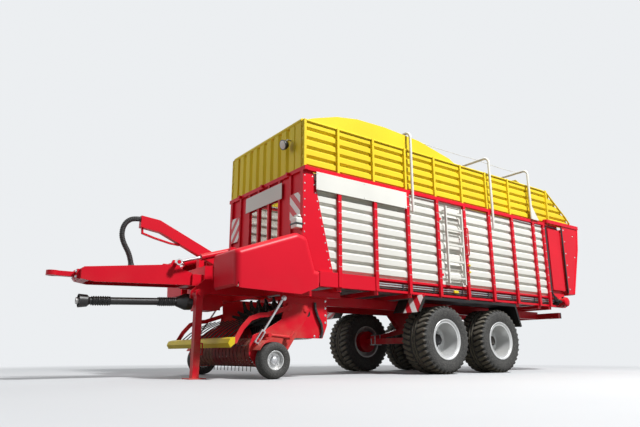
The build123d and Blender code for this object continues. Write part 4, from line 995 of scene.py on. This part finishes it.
@dataclass
class RunningTyre:
    """Wide flotation tyre with slanted lugs that wrap over its shoulders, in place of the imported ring."""

    radius: float = 0.5375
    half_width: float = 0.28
    track: float = 1.95
    half_spacing: float = 0.695
    lug_count: int = 36
    lug_deep: float = 0.032
    lug_long: float = 0.066
    lug_wide: float = 0.165
    lug_slant: float = 22.0
    lug_offset: float = 0.148
    shoulder: float = 0.01
    wrap: float = 0.045
    edge: float = 0.007
    crown: float = 0.5055
    crown_half: float = 0.222
    crown_fall: float = 0.06
    crown_steps: int = 60
    rib_half: float = 0.02
    rib_wave: float = 0.012
    rib_edge: float = 0.008
    rib_share: float = 0.6
    ring_pitch: float = 0.022
    ring_deep: float = 0.0025
    ring_end: float = 0.44
    ring_ramp: tuple[float, float] = (0.2, 0.8)
    dusty: tuple[float, float] = (0.027, 0.012)
    around: int = 576
    sharp: float = 35.0
    section: Profile = ((0.287, 0.228), (0.292, 0.236), (0.306, 0.241), (0.335, 0.254), (0.36, 0.262),
                        (0.385, 0.267), (0.41, 0.2695), (0.43, 0.27), (0.444, 0.2695), (0.456, 0.268),
                        (0.467, 0.2655), (0.477, 0.262), (0.486, 0.2565), (0.493, 0.249), (0.498, 0.24),
                        (0.5015, 0.23))

    def seats(self) -> dict[str, Point]:
        """Middle of the left wheel in the front and in the rear row."""
        rows = {"front": self.half_spacing, "rear": -self.half_spacing}
        return {row: ahead(x, self.track / 2, self.radius) for row, x in rows.items()}

    def lugs(self, turn: Array, across: Array, side: int) -> Array:
        """Share of a lug's height, from a lug's own length and width in the unrolled tread.

        Args:
            turn: turn about the wheel in radians.
            across: way over the tyre's section from its middle.
            side: 1 for the outer row and -1 for the inner.

        Returns:
            1 on a lug's face and 0 in the gaps.
        """
        pitch = 2 * np.pi / self.lug_count
        run = -self.radius * ((turn - np.pi / 2) % pitch - pitch / 2)
        reach = across - side * self.lug_offset
        slant = math.radians(self.lug_slant) * side
        along = side * (reach * math.cos(slant) + run * math.sin(slant))
        beside = np.abs(run * math.cos(slant) - reach * math.sin(slant))
        half = self.lug_wide / 2
        inner = rise(along, -half, self.edge - half)
        outer = rise(along, half - self.shoulder, half + self.wrap)
        flank = rise(beside, self.lug_long / 2 - self.edge, self.lug_long / 2)
        return inner * (1 - outer) * (1 - flank)

    def surface(self) -> Array:
        """Tyre about the origin: a section carried round the axle, lifted along its normal on the lugs.

        Returns:
            Points by turn about the axle and by place in the section.
        """
        half = np.asarray(self.section)
        tread = np.linspace(self.crown_half, -self.crown_half, self.crown_steps)
        crown = np.column_stack([self.crown - self.crown_fall * tread**2, tread])
        line = np.vstack([half, crown, half[::-1] * (1, -1)])
        tangent = unit(np.gradient(line, axis=0))
        outward = np.column_stack([-tangent[:, 1], tangent[:, 0]])
        way = way_along(line)
        across = way[-1] / 2 - way
        turn = np.linspace(0.0, 2 * np.pi, self.around, endpoint=False)[:, None]
        height = self.lug_deep * (self.lugs(turn, across, 1) + self.lugs(turn, across, -1))
        zigzag = self.rib_wave * np.abs((turn * self.lug_count / 2 / np.pi) % 2 - 1)
        rib = rise(self.rib_half - np.abs(np.abs(across) - self.rib_half - zigzag), 0.0, self.rib_edge)
        height = np.maximum(height, self.rib_share * self.lug_deep * rib)
        swell = np.sin(2 * np.pi * line[:, 0] / self.ring_pitch)
        rings = rise(swell, *self.ring_ramp) * (line[:, 0] < self.ring_end)
        full = line + (height - self.ring_deep * rings)[..., None] * outward
        radius = np.minimum(full[..., 0], self.radius)
        offset = np.clip(full[..., 1], -self.half_width, self.half_width)
        return np.stack([radius * np.cos(turn), offset, -radius * np.sin(turn)], axis=-1)

    def build(self) -> None:
        """Sets a tyre on each wheel."""
        skin = Skin.grid(self.surface(), around=True, along=True)
        reach = np.hypot(skin.points[:, 0], skin.points[:, 2])
        worn = rise(reach, self.radius - self.dusty[0], self.radius - self.dusty[1])
        for row, seat in self.seats().items():
            left = skin.stamped([seat])
            for side in Side:
                name = f"{row}_{side.word}"
                piece = left.on(side).piece(f"tread_{name}", "tyre", f"wheel_{name}", self.sharp, worn)
                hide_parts(f"tyre_{name}")


@dataclass
class WheelHubs:
    """Hub, wheel nuts, valve and rim flange of each running wheel."""

    wheels: RunningTyre
    face: float = -0.01
    nut_circle: float = 0.125
    nut_count: int = 10
    nut: tuple[float, float] = (0.015, 0.022)
    stud: Profile = ((0.009, 0.02), (0.009, 0.036), (0.006, 0.04))
    hub: Profile = ((0.105, 0.0), (0.105, 0.012), (0.088, 0.02), (0.084, 0.066), (0.078, 0.076),
                    (0.05, 0.079), (0.044, 0.073), (0.02, 0.073))
    valve: Route = ((0.215, -0.055, 0.06), (0.222, -0.02, 0.063), (0.226, 0.035, 0.064))
    valve_radius: float = 0.005
    flange: Profile = ((0.288, 0.2), (0.294, 0.23), (0.306, 0.239), (0.319, 0.247), (0.321, 0.252),
                       (0.316, 0.2555), (0.304, 0.252), (0.29, 0.243), (0.282, 0.228), (0.279, 0.2))

    def build(self) -> None:
        """Turns the hubs and flanges, and sets the nuts in a ring about each hub."""
        nut = Skin.join([bolt(*self.nut, ACROSS), Skin.turned(self.stud, ORIGIN, ACROSS, sides=10)])
        nuts = nut.stamped(in_circle(self.nut_circle, self.nut_count, self.face))
        parts = {
            ("nuts", "zinc"): Skin.join([nuts, bar(self.valve, self.valve_radius, sides=8)]),
            ("hub", "black_steel"): Skin.turned(self.hub, (0, self.face, 0), ACROSS, sides=40),
            ("flange", "silver_rim"): Skin.turned(self.flange, ORIGIN, ACROSS, sides=72, closed=True),
        }
        for row, seat in self.wheels.seats().items():
            for side in Side:
                for (name, slot), skin in parts.items():
                    part = skin.stamped([seat]).on(side)
                    part.piece(f"{name}_{row}_{side.word}", slot, f"wheel_{row}_{side.word}")


@dataclass
class GaugeWheels:
    """Ribbed tyre and hub cap of each gauge wheel on the pick-up."""

    centre: Point = ahead(3.85, 1.085, 0.23)
    radius: float = 0.23
    section: Profile = ((0.119, 0.064), (0.124, 0.071), (0.14, 0.079), (0.165, 0.0845), (0.19, 0.0835),
                        (0.208, 0.077), (0.219, 0.066), (0.2265, 0.05))
    crown_half: float = 0.046
    crown_fall: float = 0.6
    crown_steps: int = 37
    rib_pitch: float = 0.031
    groove_deep: float = 0.004
    groove_ramp: tuple[float, float] = (-0.6, 0.2)
    cap: Profile = ((0.052, 0.018), (0.052, 0.04), (0.046, 0.052), (0.03, 0.06), (0.012, 0.062))
    bolt_size: tuple[float, float] = (0.008, 0.012)
    bolt_circle: float = 0.075
    bolt_count: int = 5
    bolt_seat: float = 0.017

    def build(self) -> None:
        """Turns the tyre with three ribs about its tread, and a domed cap with its bolts."""
        half = list(self.section)
        across = np.linspace(self.crown_half, -self.crown_half, self.crown_steps)
        groove = 1 - rise(np.cos(across * 2 * np.pi / self.rib_pitch), *self.groove_ramp)
        crown = self.radius - self.groove_deep * groove - self.crown_fall * across**2
        profile = half + list(zip(crown, across)) + [(r, -y) for r, y in reversed(half)]
        tyre = Skin.turned(profile[::-1], self.centre, ACROSS, sides=96, closed=True)
        spots = in_circle(self.bolt_circle, self.bolt_count, self.bolt_seat) + self.centre
        cap = Skin.turned(self.cap, self.centre, ACROSS, sides=28)
        bright = Skin.join([cap, bolt(*self.bolt_size, ACROSS).stamped(spots)])
        for side in Side:
            body = f"gauge_wheel_{side.word}"
            tread = tyre.on(side).piece(f"gauge_tread_{side.word}", "tyre", body)
            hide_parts(f"gauge_tyre_{side.word}")
            bright.on(side).piece(f"gauge_cap_{side.word}", "zinc", body)


@dataclass
class BoltRows:
    """Bolts on the side posts, gussets and boards."""

    first_post: float = 2.8
    pitch: float = 0.705
    posts: int = 8
    rear_post: float = -2.49
    post_out: float = 1.165
    low: float = 1.43
    rib: float = 0.16
    rows: int = 9
    above_rib: float = 0.58
    half_gap: float = 0.016
    small: tuple[float, float] = (0.0058, 0.0055)
    large: tuple[float, float] = (0.008, 0.008)
    gusset_out: float = 1.13
    gusset_high: float = 1.42
    gusset_front: float = 3.41
    gusset_foot: float = 2.95
    gusset_lean: float = 0.34
    gusset_bolts: int = 12
    gusset_ends: tuple[float, float] = (0.04, 0.96)
    board_out: float = 1.173
    board_x: tuple[float, ...] = (1.45, 2.33, 3.21)
    board_z: tuple[float, ...] = (2.625, 2.845)

    def on_posts(self) -> Array:
        """Two places beside each rib on every post: each post's x with each rib's height and both offsets.

        Returns:
            The bolts' places on the left side.
        """
        x = np.append(self.first_post - self.pitch * np.arange(self.posts), self.rear_post)
        z = self.low + self.rib * (np.arange(self.rows) + self.above_rib)
        beside = np.array([-self.half_gap, self.half_gap])
        place = np.stack(np.meshgrid(x, z, beside, indexing="ij"), axis=-1).reshape(-1, 3)
        out = np.full(len(place), self.post_out)
        return np.column_stack([place[:, 0] + place[:, 2] + TANDEM_X, out, place[:, 1]])

    def on_gussets(self) -> Array:
        """Two rows up each corner gusset: an upright one, and one that leans with the gusset's edge.

        Returns:
            The bolts' places on the left side.
        """
        share = np.linspace(*self.gusset_ends, self.gusset_bolts)
        out = np.full(self.gusset_bolts, self.gusset_out)
        height = self.low + share * self.gusset_high
        upright = np.full(self.gusset_bolts, self.gusset_front + TANDEM_X)
        leaning = self.gusset_foot + share * self.gusset_lean + TANDEM_X
        return np.vstack([np.column_stack([x, out, height]) for x in (upright, leaning)])

    def build(self) -> None:
        """Stamps the bolts on both sides."""
        head = bolt(*self.small, ACROSS)
        head.stamped(self.on_posts()).both().piece("post_bolts", "zinc")
        bolt(*self.large, ACROSS).stamped(self.on_gussets()).both().piece("gusset_bolts", "zinc")
        corners = [ahead(x, self.board_out, z) for x in self.board_x for z in self.board_z]
        head.stamped(corners).both().piece("board_bolts", "zinc")


@dataclass
class SillLines:
    """Pipes and a conduit that run in the recess of each sill, with their clips."""

    rear: float = -2.9
    front: float = 3.1
    depth: float = 1.084
    bay: float = 0.705
    dip: float = 0.003
    steps: int = 49
    lines: tuple = (("sill_pipe_upper", "zinc", 1.362, 0.013), ("sill_pipe_lower", "zinc", 1.326, 0.011),
                    ("sill_conduit", "black_plastic", 1.288, 0.014))
    first_clip: float = 0.176
    clips: int = 9
    clip_half: float = 0.015
    clip_in: float = 0.03
    clip_out: float = 0.017
    clip_low: float = 1.27
    clip_high: float = 1.38
    bevel: float = 0.004

    def build(self) -> None:
        """Lays pipes that dip slightly between their clips: a squared sine with two dips to a bay."""
        x = np.linspace(self.rear, self.front, self.steps)
        dip = self.dip * np.sin(np.pi * (x - self.rear) / (self.bay / 2)) ** 2
        depth = np.full(self.steps, self.depth)
        for name, slot, height, radius in self.lines:
            path = np.column_stack([x + TANDEM_X, depth, height - dip])
            bar(path, radius, sides=10).both().piece(name, slot)
        low = (-self.clip_half, self.depth - self.clip_in, self.clip_low)
        high = (self.clip_half, self.depth + self.clip_out, self.clip_high)
        spots = [ahead(self.rear + self.first_clip + self.bay * i, 0.0, 0.0) for i in range(self.clips)]
        Skin.block(low, high, self.bevel).stamped(spots).both().piece("sill_clips", "black_plastic")


@dataclass
class HayRails:
    """Edge rails along the top of the hay sides and down their sloping tails."""

    out: float = 1.113
    line: Profile = ((-3.575, 3.052), (-3.43, 3.186), (-2.795, 3.632), (-2.6, 3.652), (3.42, 3.656))
    tube: float = 0.017

    def build(self) -> None:
        """Bends one rail along each side."""
        rail = bar([ahead(x, self.out, z) for x, z in self.line], self.tube, sides=10, up=ACROSS)
        rail.both().piece("hay_rails", "yellow_paint")


@dataclass
class RoofRopes:
    """Taut ropes from bow to bow."""

    lanes: tuple[float, ...] = (-0.95, -0.48, 0.0, 0.48, 0.95)
    bows: tuple[float, ...] = (1.3, -0.8, -2.06)
    height: float = 3.982
    rope: float = 0.005
    sag: float = 0.02
    steps: int = 9

    def build(self) -> None:
        """Stretches each rope from bow to bow with a small sag, a parabola between each two."""
        share = np.linspace(0.0, 1.0, self.steps)
        z = self.height - 4 * self.sag * share * (1 - share)
        lines = []
        for start, end in zip(self.bows, self.bows[1:]):
            x = start + (end - start) * share + TANDEM_X
            paths = [np.column_stack([x, np.full(self.steps, y), z]) for y in self.lanes]
            lines += [bar(path, self.rope, sides=6) for path in paths]
        Skin.join(lines).piece("roof_ropes", "white_plastic")


@dataclass
class HoseBundle:
    """Ribbed sleeve of hoses from the arm's tip to the top of the drawbar."""

    route: Profile = ((5.34, 2.085), (5.435, 2.085), (5.523, 2.028), (5.57, 1.923), (5.562, 1.773),
                      (5.4261, 1.5609), (5.41, 1.4218))
    diameter: float = 0.07
    length: float = 0.84
    rib: float = 0.024
    rib_deep: float = 0.0035
    rib_ramp: tuple[float, float] = (0.0, 0.9)
    sides: int = 20
    steps: int = 60

    def line(self) -> Array:
        """Points along the route's smooth spline.

        Returns:
            The points, one in a row.
        """
        curve = bpy.data.curves.new("hose_route", "CURVE")
        curve.dimensions = "3D"
        spline = curve.splines.new("NURBS")
        spline.points.add(len(self.route) - 1)
        for place, (x, z) in zip(spline.points, self.route):
            place.co = (*ahead(x, 0.0, z), 1.0)
        spline.order_u = 3
        spline.use_endpoint_u = True
        spline.resolution_u = self.steps
        carrier = bpy.data.objects.new("hose_route", curve)
        mesh = bpy.data.meshes.new_from_object(carrier)
        points = np.empty(len(mesh.vertices) * 3)
        mesh.vertices.foreach_get("co", points)
        bpy.data.objects.remove(carrier)
        return points.reshape(-1, 3)

    def build(self) -> None:
        """Carries a ring along the spline, its radius waving with the way."""
        line = self.line()
        wave = np.cos(2 * np.pi * way_along(line) / self.rib)
        radius = self.diameter / 2 - self.rib_deep * rise(wave, *self.rib_ramp)
        skin = Skin.sweep(radius[:, None, None] * ring(1.0, self.sides), line, up=ACROSS)
        mesh = skin.mesh("hose_sleeve", "hose_rubber")
        sleeve = bpy.data.objects.new("hose_sleeve", mesh)
        bpy.context.collection.objects.link(sleeve)
        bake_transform(sleeve)
        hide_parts("hose_bundle")
        LOG.info("hose_sleeve: %d faces between chassis and drawbar", len(mesh.polygons))


@dataclass
class Canister:
    """Blown hand-wash canister with a grip, a screw cap and a strap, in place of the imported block."""

    sides: int = 48
    squareness: float = 0.35
    levels: Profile = ((0.0, 0.86), (0.02, 0.95), (0.06, 0.99), (0.3, 0.985), (0.33, 0.955), (0.36, 0.985),
                       (0.7, 0.985), (0.78, 0.93), (0.84, 0.74), (0.865, 0.5))
    top: float = 0.86
    cap_along: float = 0.045
    cap: Profile = ((0.034, 0.0), (0.034, 0.022), (0.031, 0.027), (0.01, 0.028))
    grip: Profile = ((-0.075, -0.02), (-0.07, 0.018), (-0.035, 0.03), (0.0, 0.026), (0.02, 0.0))
    grip_radius: float = 0.011
    strap_at: float = 0.33
    strap_half: tuple[float, float] = (0.002, 0.012)

    def build(self) -> None:
        """Lofts a rounded oblong body: each level is a superellipse whose half widths follow the height."""
        low, high = (np.asarray(corner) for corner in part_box("canister"))
        middle, half = (low + high) / 2, (high - low) / 2
        levels = np.array(self.levels)
        circle = ring(1.0, self.sides)
        form = np.sign(circle) * np.abs(circle) ** self.squareness
        rings = middle[:2] + levels[:, 1, None, None] * half[:2] * form
        heights = low[2] + levels[:, 0] * 2 * half[2]
        heights = np.broadcast_to(heights[:, None, None], (len(levels), self.sides, 1))
        body = Skin.tube(np.concatenate([rings, heights], axis=-1))
        x, y, top = middle[0], middle[1], low[2] + 2 * self.top * half[2]
        cap = Skin.turned(self.cap, (x, y + self.cap_along, top), UPWARD, sides=24)
        grip = bar([(x, y + dy, top + dz) for dy, dz in self.grip], self.grip_radius, sides=10, up=FORWARD)
        piece = Skin.join([body, cap, grip]).piece("wash_canister", "white_plastic")
        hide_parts("canister")
        thick = self.strap_half[0]
        height = np.full(4, low[2] + self.strap_at * 2 * half[2])
        path = np.column_stack([oblong(low[:2] - thick, high[:2] + thick), height])
        strap = Skin.sweep(oblong(-np.array(self.strap_half), self.strap_half), path, closed=True)
        strap.piece("canister_strap", "black_plastic")


@dataclass
class DoorTrim:
    """Grab handle and latch knobs by the side door, with the step lamp under its ladder."""

    post: float = -0.02
    post_out: float = 1.165
    handle: Profile = ((-0.004, 2.47), (0.03, 2.465), (0.044, 2.44), (0.044, 2.0), (0.03, 1.975),
                       (-0.004, 1.97))
    handle_radius: float = 0.011
    knob: Profile = ((0.007, 0.0), (0.007, 0.02), (0.017, 0.024), (0.02, 0.034), (0.016, 0.044),
                     (0.006, 0.048))
    knob_z: tuple[float, ...] = (1.8, 1.68)
    stop_x: tuple[float, ...] = (0.08, 0.46)
    stop: Route = ((0.0, 1.12, 1.375), (0.04, 1.185, 1.425))
    stop_bevel: float = 0.006
    lamp: Route = ((0.24, 1.12, 1.3), (0.36, 1.146, 1.35))
    lamp_bevel: float = 0.008

    def build(self) -> None:
        """Bends the handle from the post and back, turns the knobs and sets the stops and the lamp."""
        x, out = self.post, self.post_out
        path = [ahead(x, out + dy, z) for dy, z in self.handle]
        bar(path, self.handle_radius, sides=12, up=FORWARD).piece("grab_handle", "red_paint")
        knobs = [Skin.turned(self.knob, ahead(x, out, z), ACROSS, sides=20) for z in self.knob_z]
        Skin.join(knobs).piece("latch_knobs", "yellow_paint")
        stop = Skin.block(*self.stop, self.stop_bevel)
        stop.stamped([ahead(x, 0.0, 0.0) for x in self.stop_x]).piece("ladder_stops", "red_paint")
        Skin.block(*placed(self.lamp), self.lamp_bevel).piece("step_lamp", "yellow_paint")


@dataclass
class WorkLamp:
    """Work lamp on a bracket before the hay front."""

    face: float = 3.435
    across: float = 0.78
    height: float = 3.33
    lean: float = -0.35
    stand_off: float = 0.13
    housing: Profile = ((0.02, -0.075), (0.05, -0.07), (0.072, -0.035), (0.078, 0.0), (0.078, 0.012),
                        (0.07, 0.014))
    glass: Profile = ((0.07, 0.006), (0.066, 0.014), (0.045, 0.02), (0.012, 0.022))
    stay: Profile = ((-0.03, 0.1), (0.05, 0.1), (0.1, 0.05))
    stay_radius: float = 0.012

    def build(self) -> None:
        """Turns the housing and its glass about a leaning axis and bends the bracket."""
        centre = ahead(self.face + self.stand_off, self.across, self.height)
        axis = (1.0, 0.0, self.lean)
        Skin.turned(self.housing, centre, axis, sides=32).piece("work_lamp", "black_plastic")
        Skin.turned(self.glass, centre, axis, sides=32).piece("work_lamp_glass", "white_plastic")
        path = [ahead(self.face + dx, self.across, self.height + dz) for dx, dz in self.stay]
        bar(path, self.stay_radius, sides=8, up=ACROSS).piece("work_lamp_stay", "zinc")


@dataclass
class ShaftGuard:
    """Ribbed sleeves at both ends of the drive shaft's guard."""

    joint: Point = ahead(4.62, 0.0, 1.01)
    droop: float = 2.5
    reaches: Profile = ((0.17, 0.4), (1.02, 1.25))
    radius: float = 0.056
    rib_deep: float = 0.006
    rib: float = 0.0288
    mouth: float = 0.0485
    steps: int = 61

    def build(self) -> None:
        """Turns corrugated sleeves about the drooping axis: the radius waves along it."""
        slope = math.radians(self.droop)
        axis = (math.cos(slope), 0.0, -math.sin(slope))
        sleeves = []
        for start, end in self.reaches:
            along = np.linspace(start, end, self.steps)
            radius = self.radius + self.rib_deep * np.cos(2 * np.pi * (along - start) / self.rib)
            radius[[0, -1]] = self.mouth
            sleeves.append(Skin.turned(np.column_stack([radius, along]), self.joint, axis, sides=36))
        Skin.join(sleeves).piece("shaft_sleeves", "black_plastic", "drive_shaft")


@dataclass
class DrawbarTrim:
    """Collar of the hose sleeve on the drawbar's top, and the bolts of the hitch eye."""

    foot: Point = ahead(5.41, 0.0, 1.424)
    square: Point = (0.115, 0, 0.993)
    collar: Profile = ((0.066, -0.006), (0.066, 0.006), (0.042, 0.014), (0.038, 0.045), (0.027, 0.047))
    flange: float = 6.092
    bolt_y: tuple[float, ...] = (-0.09, 0.09)
    bolt_z: tuple[float, ...] = (1.232, 1.298)
    bolt_size: tuple[float, float] = (0.015, 0.018)

    def build(self) -> None:
        """Turns the collar square to the sloping top and sets the bolts in two rows."""
        collar = Skin.turned(self.collar, self.foot, self.square, sides=28)
        collar.piece("hose_collar", "black_plastic", "drawbar")
        places = [ahead(self.flange, y, z) for y in self.bolt_y for z in self.bolt_z]
        bolt(*self.bolt_size, FORWARD).stamped(places).piece("eye_bolts", "zinc", "drawbar")


@dataclass
class SlotScreens:
    """Wire screens in the look-through slots of the front wall."""

    depth: float = 3.3975
    middles: tuple[float, ...] = (-0.315, 0.0, 0.315)
    half: float = 0.12
    low: float = 1.98
    high: float = 2.56
    pitch: float = 0.02
    wire: float = 0.0024
    apart: float = 0.003

    def build(self) -> None:
        """Lays level wires before upright ones over each slot."""
        upright = bar([(0, 0, self.low), (0, 0, self.high)], self.wire, sides=5, up=FORWARD)
        level = bar([(0, -self.half, 0), (0, self.half, 0)], self.wire, sides=5)
        across = np.arange(-self.half + self.pitch / 2, self.half, self.pitch)
        up = np.arange(self.low + self.pitch / 2, self.high, self.pitch)
        rows = [ahead(self.depth + self.apart, y, z) for y in self.middles for z in up]
        columns = [ahead(self.depth - self.apart, y + dy, 0.0) for y in self.middles for dy in across]
        Skin.join([upright.stamped(columns), level.stamped(rows)]).piece("slot_screens", "black_steel")


@dataclass
class HousingTrim:
    """Bolts and a hose on each side of the rotor housing."""

    face: float = 0.925
    bolts: Profile = ((2.9, 0.74), (2.9, 0.84), (2.9, 0.94), (2.9, 1.04), (2.99, 0.548), (3.09, 0.548))
    bolt_size: tuple[float, float] = (0.012, 0.012)
    hose: Route = ((3.1, 0.95, 1.012), (3.094, 0.95, 0.93), (3.05, 0.95, 0.82), (2.99, 0.95, 0.72),
                   (2.97, 0.95, 0.62), (2.99, 0.948, 0.53))
    hose_radius: float = 0.02

    def build(self) -> None:
        """Stamps bolts along the plate's rear and lower edges and lays a hose down its side."""
        places = [ahead(x, self.face, z) for x, z in self.bolts]
        bolt(*self.bolt_size, ACROSS).stamped(places).both().piece("housing_bolts", "zinc")
        hose = bar(placed(self.hose), self.hose_radius, sides=12, up=ACROSS)
        hose.both().piece("housing_hoses", "hose_rubber")


@dataclass
class PickupTrim:
    """Guard plates before the gauge wheels, and caps on the links' pins."""

    gauge: tuple[float, float] = (3.85, 0.23)
    guard: float = 0.268
    guard_y: float = 1.055
    guard_turn: tuple[float, float] = (28.0, 84.0)
    guard_half: tuple[float, float] = (0.105, 0.003)
    guard_up: Point = (0.3, 0, 1)
    steps: int = 15
    pin: Point = ahead(3.66, 1.03, 1.035)
    cap: Profile = ((0.034, 0.0), (0.034, 0.006), (0.02, 0.008), (0.02, 0.016), (0.012, 0.018))

    def build(self) -> None:
        """Bends each guard as an arc about the gauge wheel, and turns the caps."""
        turn = np.radians(np.linspace(*self.guard_turn, self.steps))
        x = self.gauge[0] + self.guard * np.cos(turn) + TANDEM_X
        z = self.gauge[1] + self.guard * np.sin(turn)
        path = np.column_stack([x, np.full(self.steps, self.guard_y), z])
        plate = oblong(-np.array(self.guard_half), self.guard_half)
        Skin.sweep(plate, path, up=self.guard_up).both().piece("gauge_guards", "red_paint", "pickup")
        Skin.turned(self.cap, self.pin, ACROSS, sides=24).both().piece("link_caps", "zinc", "pickup_links")


@dataclass
class RunningGearTrim:
    """Spring clamps and brake chambers on the axles."""

    half_spacing: float = 0.695
    bow_at: float = 0.062
    bow: Profile = ((0.438, 0.47), (0.438, 0.64), (0.446, 0.651), (0.534, 0.651), (0.542, 0.64),
                    (0.542, 0.47))
    bow_radius: float = 0.009
    plate: Route = ((-0.09, 0.425, 0.468), (0.09, 0.555, 0.486))
    plate_bevel: float = 0.004
    chamber: Profile = ((0.03, -0.09), (0.07, -0.085), (0.082, -0.05), (0.09, -0.045), (0.09, -0.03),
                        (0.08, -0.025), (0.074, 0.03), (0.04, 0.045), (0.012, 0.05), (0.012, 0.12))
    chamber_at: Point = (0.24, 0.6, 0.6)
    chamber_fall: float = -0.1

    def build(self) -> None:
        """Bends clamps over the springs and turns the chambers beside them."""
        clamps, chambers = [], []
        inward, y, z = self.chamber_at
        for way in (1, -1):
            axle = way * self.half_spacing
            for x in (axle - self.bow_at, axle + self.bow_at):
                path = [ahead(x, *place) for place in self.bow]
                clamps.append(bar(path, self.bow_radius, sides=8, up=FORWARD))
            clamps.append(Skin.block(*self.plate, self.plate_bevel).stamped([ahead(axle, 0.0, 0.0)]))
            centre = ahead(axle - way * inward, y, z)
            chambers.append(Skin.turned(self.chamber, centre, (way, 0, self.chamber_fall), sides=24))
        Skin.join(clamps).both().piece("spring_clamps", "zinc")
        Skin.join(chambers).both().piece("brake_chambers", "black_steel")


@dataclass
class RearTrim:
    """Lines beside the chain guard, the floor drive, the tailgate's tubes and the lamps' surrounds."""

    feet: Route = ((-2.575, 1.139, 1.36), (-2.6, 1.139, 1.3), (-2.552, 1.14, 1.4))
    line_radius: float = 0.0105
    line_bend: Route = ((-0.16, 1.16, 0.0), (-0.08, 1.165, 0.03))
    line_elbow: float = 0.14
    line_upright: Route = ((0.004, 0.0, 1.9), (0.0, 0.0, 2.4), (0.0, -0.004, 2.8))
    loop: Route = ((-2.575, 1.135, 2.78), (-2.585, 1.14, 2.84), (-2.64, 1.142, 2.868), (-2.8, 1.142, 2.872),
                   (-2.95, 1.142, 2.862), (-3.01, 1.142, 2.84), (-3.02, 1.142, 2.81))
    loop_radius: float = 0.0125
    drive: Point = ahead(-2.9, 1.25, 1.33)
    drive_cap: Profile = ((0.09, -0.004), (0.088, 0.006), (0.07, 0.016), (0.04, 0.022), (0.012, 0.024))
    lug_circle: float = 0.099
    lug_count: int = 6
    lug_seat: float = -0.05
    lug: Route = ((-0.014, -0.02, -0.014), (0.014, 0.01, 0.014))
    motor_at: Point = ahead(-2.74, 1.121, 1.33)
    motor: Profile = ((0.046, 0.0), (0.046, 0.055), (0.032, 0.065), (0.03, 0.1), (0.02, 0.104))
    bevel: float = 0.004
    seal: Route = ((-3.122, 1.166, 1.52), (-3.098, 1.197, 2.9))
    gate_out: float = 1.19
    gate_row: tuple[float, float] = (1.6, 2.85)
    gate_row_x: float = -3.17
    gate_row_count: int = 6
    gate_pair: Profile = ((-3.5, 2.3), (-3.5, 2.75))
    gate_bolt: tuple[float, float] = (0.011, 0.011)
    gate_edge: Route = ((-3.712, 1.187, 2.92), (-3.634, 1.187, 2.48), (-3.32, 1.187, 1.512))
    edge_radius: float = 0.019
    cross_at: Profile = ((-3.702, 2.98), (-3.62, 2.47))
    cross_half: float = 1.165
    cross_radius: float = 0.018
    lamp_y: tuple[float, float] = (0.756, 0.994)
    lamp_back: float = 0.014
    surround: Profile = ((-0.006, -0.016), (0.01, 0.016))

    def line(self, x: float, y: float, foot: float) -> Skin:
        """One line from the floor drive up beside the chain guard: a bend at its foot, then upright.

        Args:
            x: where it rises, from the tandem's middle.
            y: where it rises, from the wagon's middle.
            foot: height of its lower end.

        Returns:
            The bent line.
        """
        path = [(x + dx, out, foot + dz) for dx, out, dz in self.line_bend]
        path.append((x, y, foot + self.line_elbow))
        path += [(x + dx, y + dy, z) for dx, dy, z in self.line_upright]
        return bar(placed(path), self.line_radius, sides=10, up=ACROSS)

    def floor_drive(self) -> None:
        """Turns the drive's cap and its motor, and sets lugs in a ring about the cap."""
        Skin.turned(self.drive_cap, self.drive, ACROSS, sides=36).piece("floor_drive_cap", "red_paint")
        spots = in_circle(self.lug_circle, self.lug_count, self.lug_seat) + self.drive
        lugs = Skin.block(*self.lug, self.bevel).stamped(spots)
        motor = Skin.turned(self.motor, self.motor_at, ACROSS, sides=28)
        Skin.join([lugs, motor]).piece("floor_motor", "black_steel")

    def gate(self) -> None:
        """Lays seals down the tailgate's front edges, bolts on its sides and tubes round its rear."""
        seal = Skin.block(*placed(self.seal), self.bevel)
        seal.both().piece("gate_seals", "black_plastic", "tailgate")
        row = [(self.gate_row_x, z) for z in np.linspace(*self.gate_row, self.gate_row_count)]
        spots = [ahead(x, self.gate_out, z) for x, z in (*row, *self.gate_pair)]
        bolt(*self.gate_bolt, ACROSS).stamped(spots).both().piece("gate_bolts", "zinc", "tailgate")
        tubes = [bar(placed(self.gate_edge), self.edge_radius, sides=12, up=ACROSS).both()]
        for x, z in self.cross_at:
            ends = placed(((x, -self.cross_half, z), (x, self.cross_half, z)))
            tubes.append(bar(ends, self.cross_radius, sides=12))
        Skin.join(tubes).piece("gate_tubes", "red_paint", "tailgate")

    def build(self) -> None:
        """Lays the lines, and builds the floor drive, the gate's trim and the lamps' surrounds."""
        lines = [self.line(*foot) for foot in self.feet]
        lines.append(bar(placed(self.loop), self.loop_radius, sides=10, up=ACROSS))
        Skin.join(lines).piece("rear_lines", "hose_rubber")
        self.floor_drive()
        self.gate()
        low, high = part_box("tail_lamps")
        outline = oblong((self.lamp_y[0], low[2]), (self.lamp_y[1], high[2]))
        path = np.column_stack([np.full(4, high[0] - self.lamp_back), outline])
        frame = Skin.sweep(oblong(*self.surround), path, up=FORWARD, closed=True)
        frame.both().piece("lamp_frames", "black_plastic")


def main() -> None:
    """Builds the studio and the wagon's pieces in order."""
    logging.basicConfig(level=logging.INFO, format="%(name)s: %(message)s")
    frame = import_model()
    slots = {row["node"]: row["material_slot"] for row in frame["record"]["subparts"]}
    Studio().build()
    Paintwork(frame["nodes"], slots).dress()
    wheels = RunningTyre()
    assemblies = (wheels, WheelHubs(wheels), GaugeWheels(), BoltRows(), SillLines(), HayRails(), RoofRopes(),
                  HoseBundle(), Canister(), DoorTrim(), WorkLamp(), SlotScreens(), ShaftGuard(),
                  DrawbarTrim(), HousingTrim(), PickupTrim(), RunningGearTrim(), RearTrim())
    for assembly in assemblies:
        assembly.build()


if __name__ == "__main__":
    main()
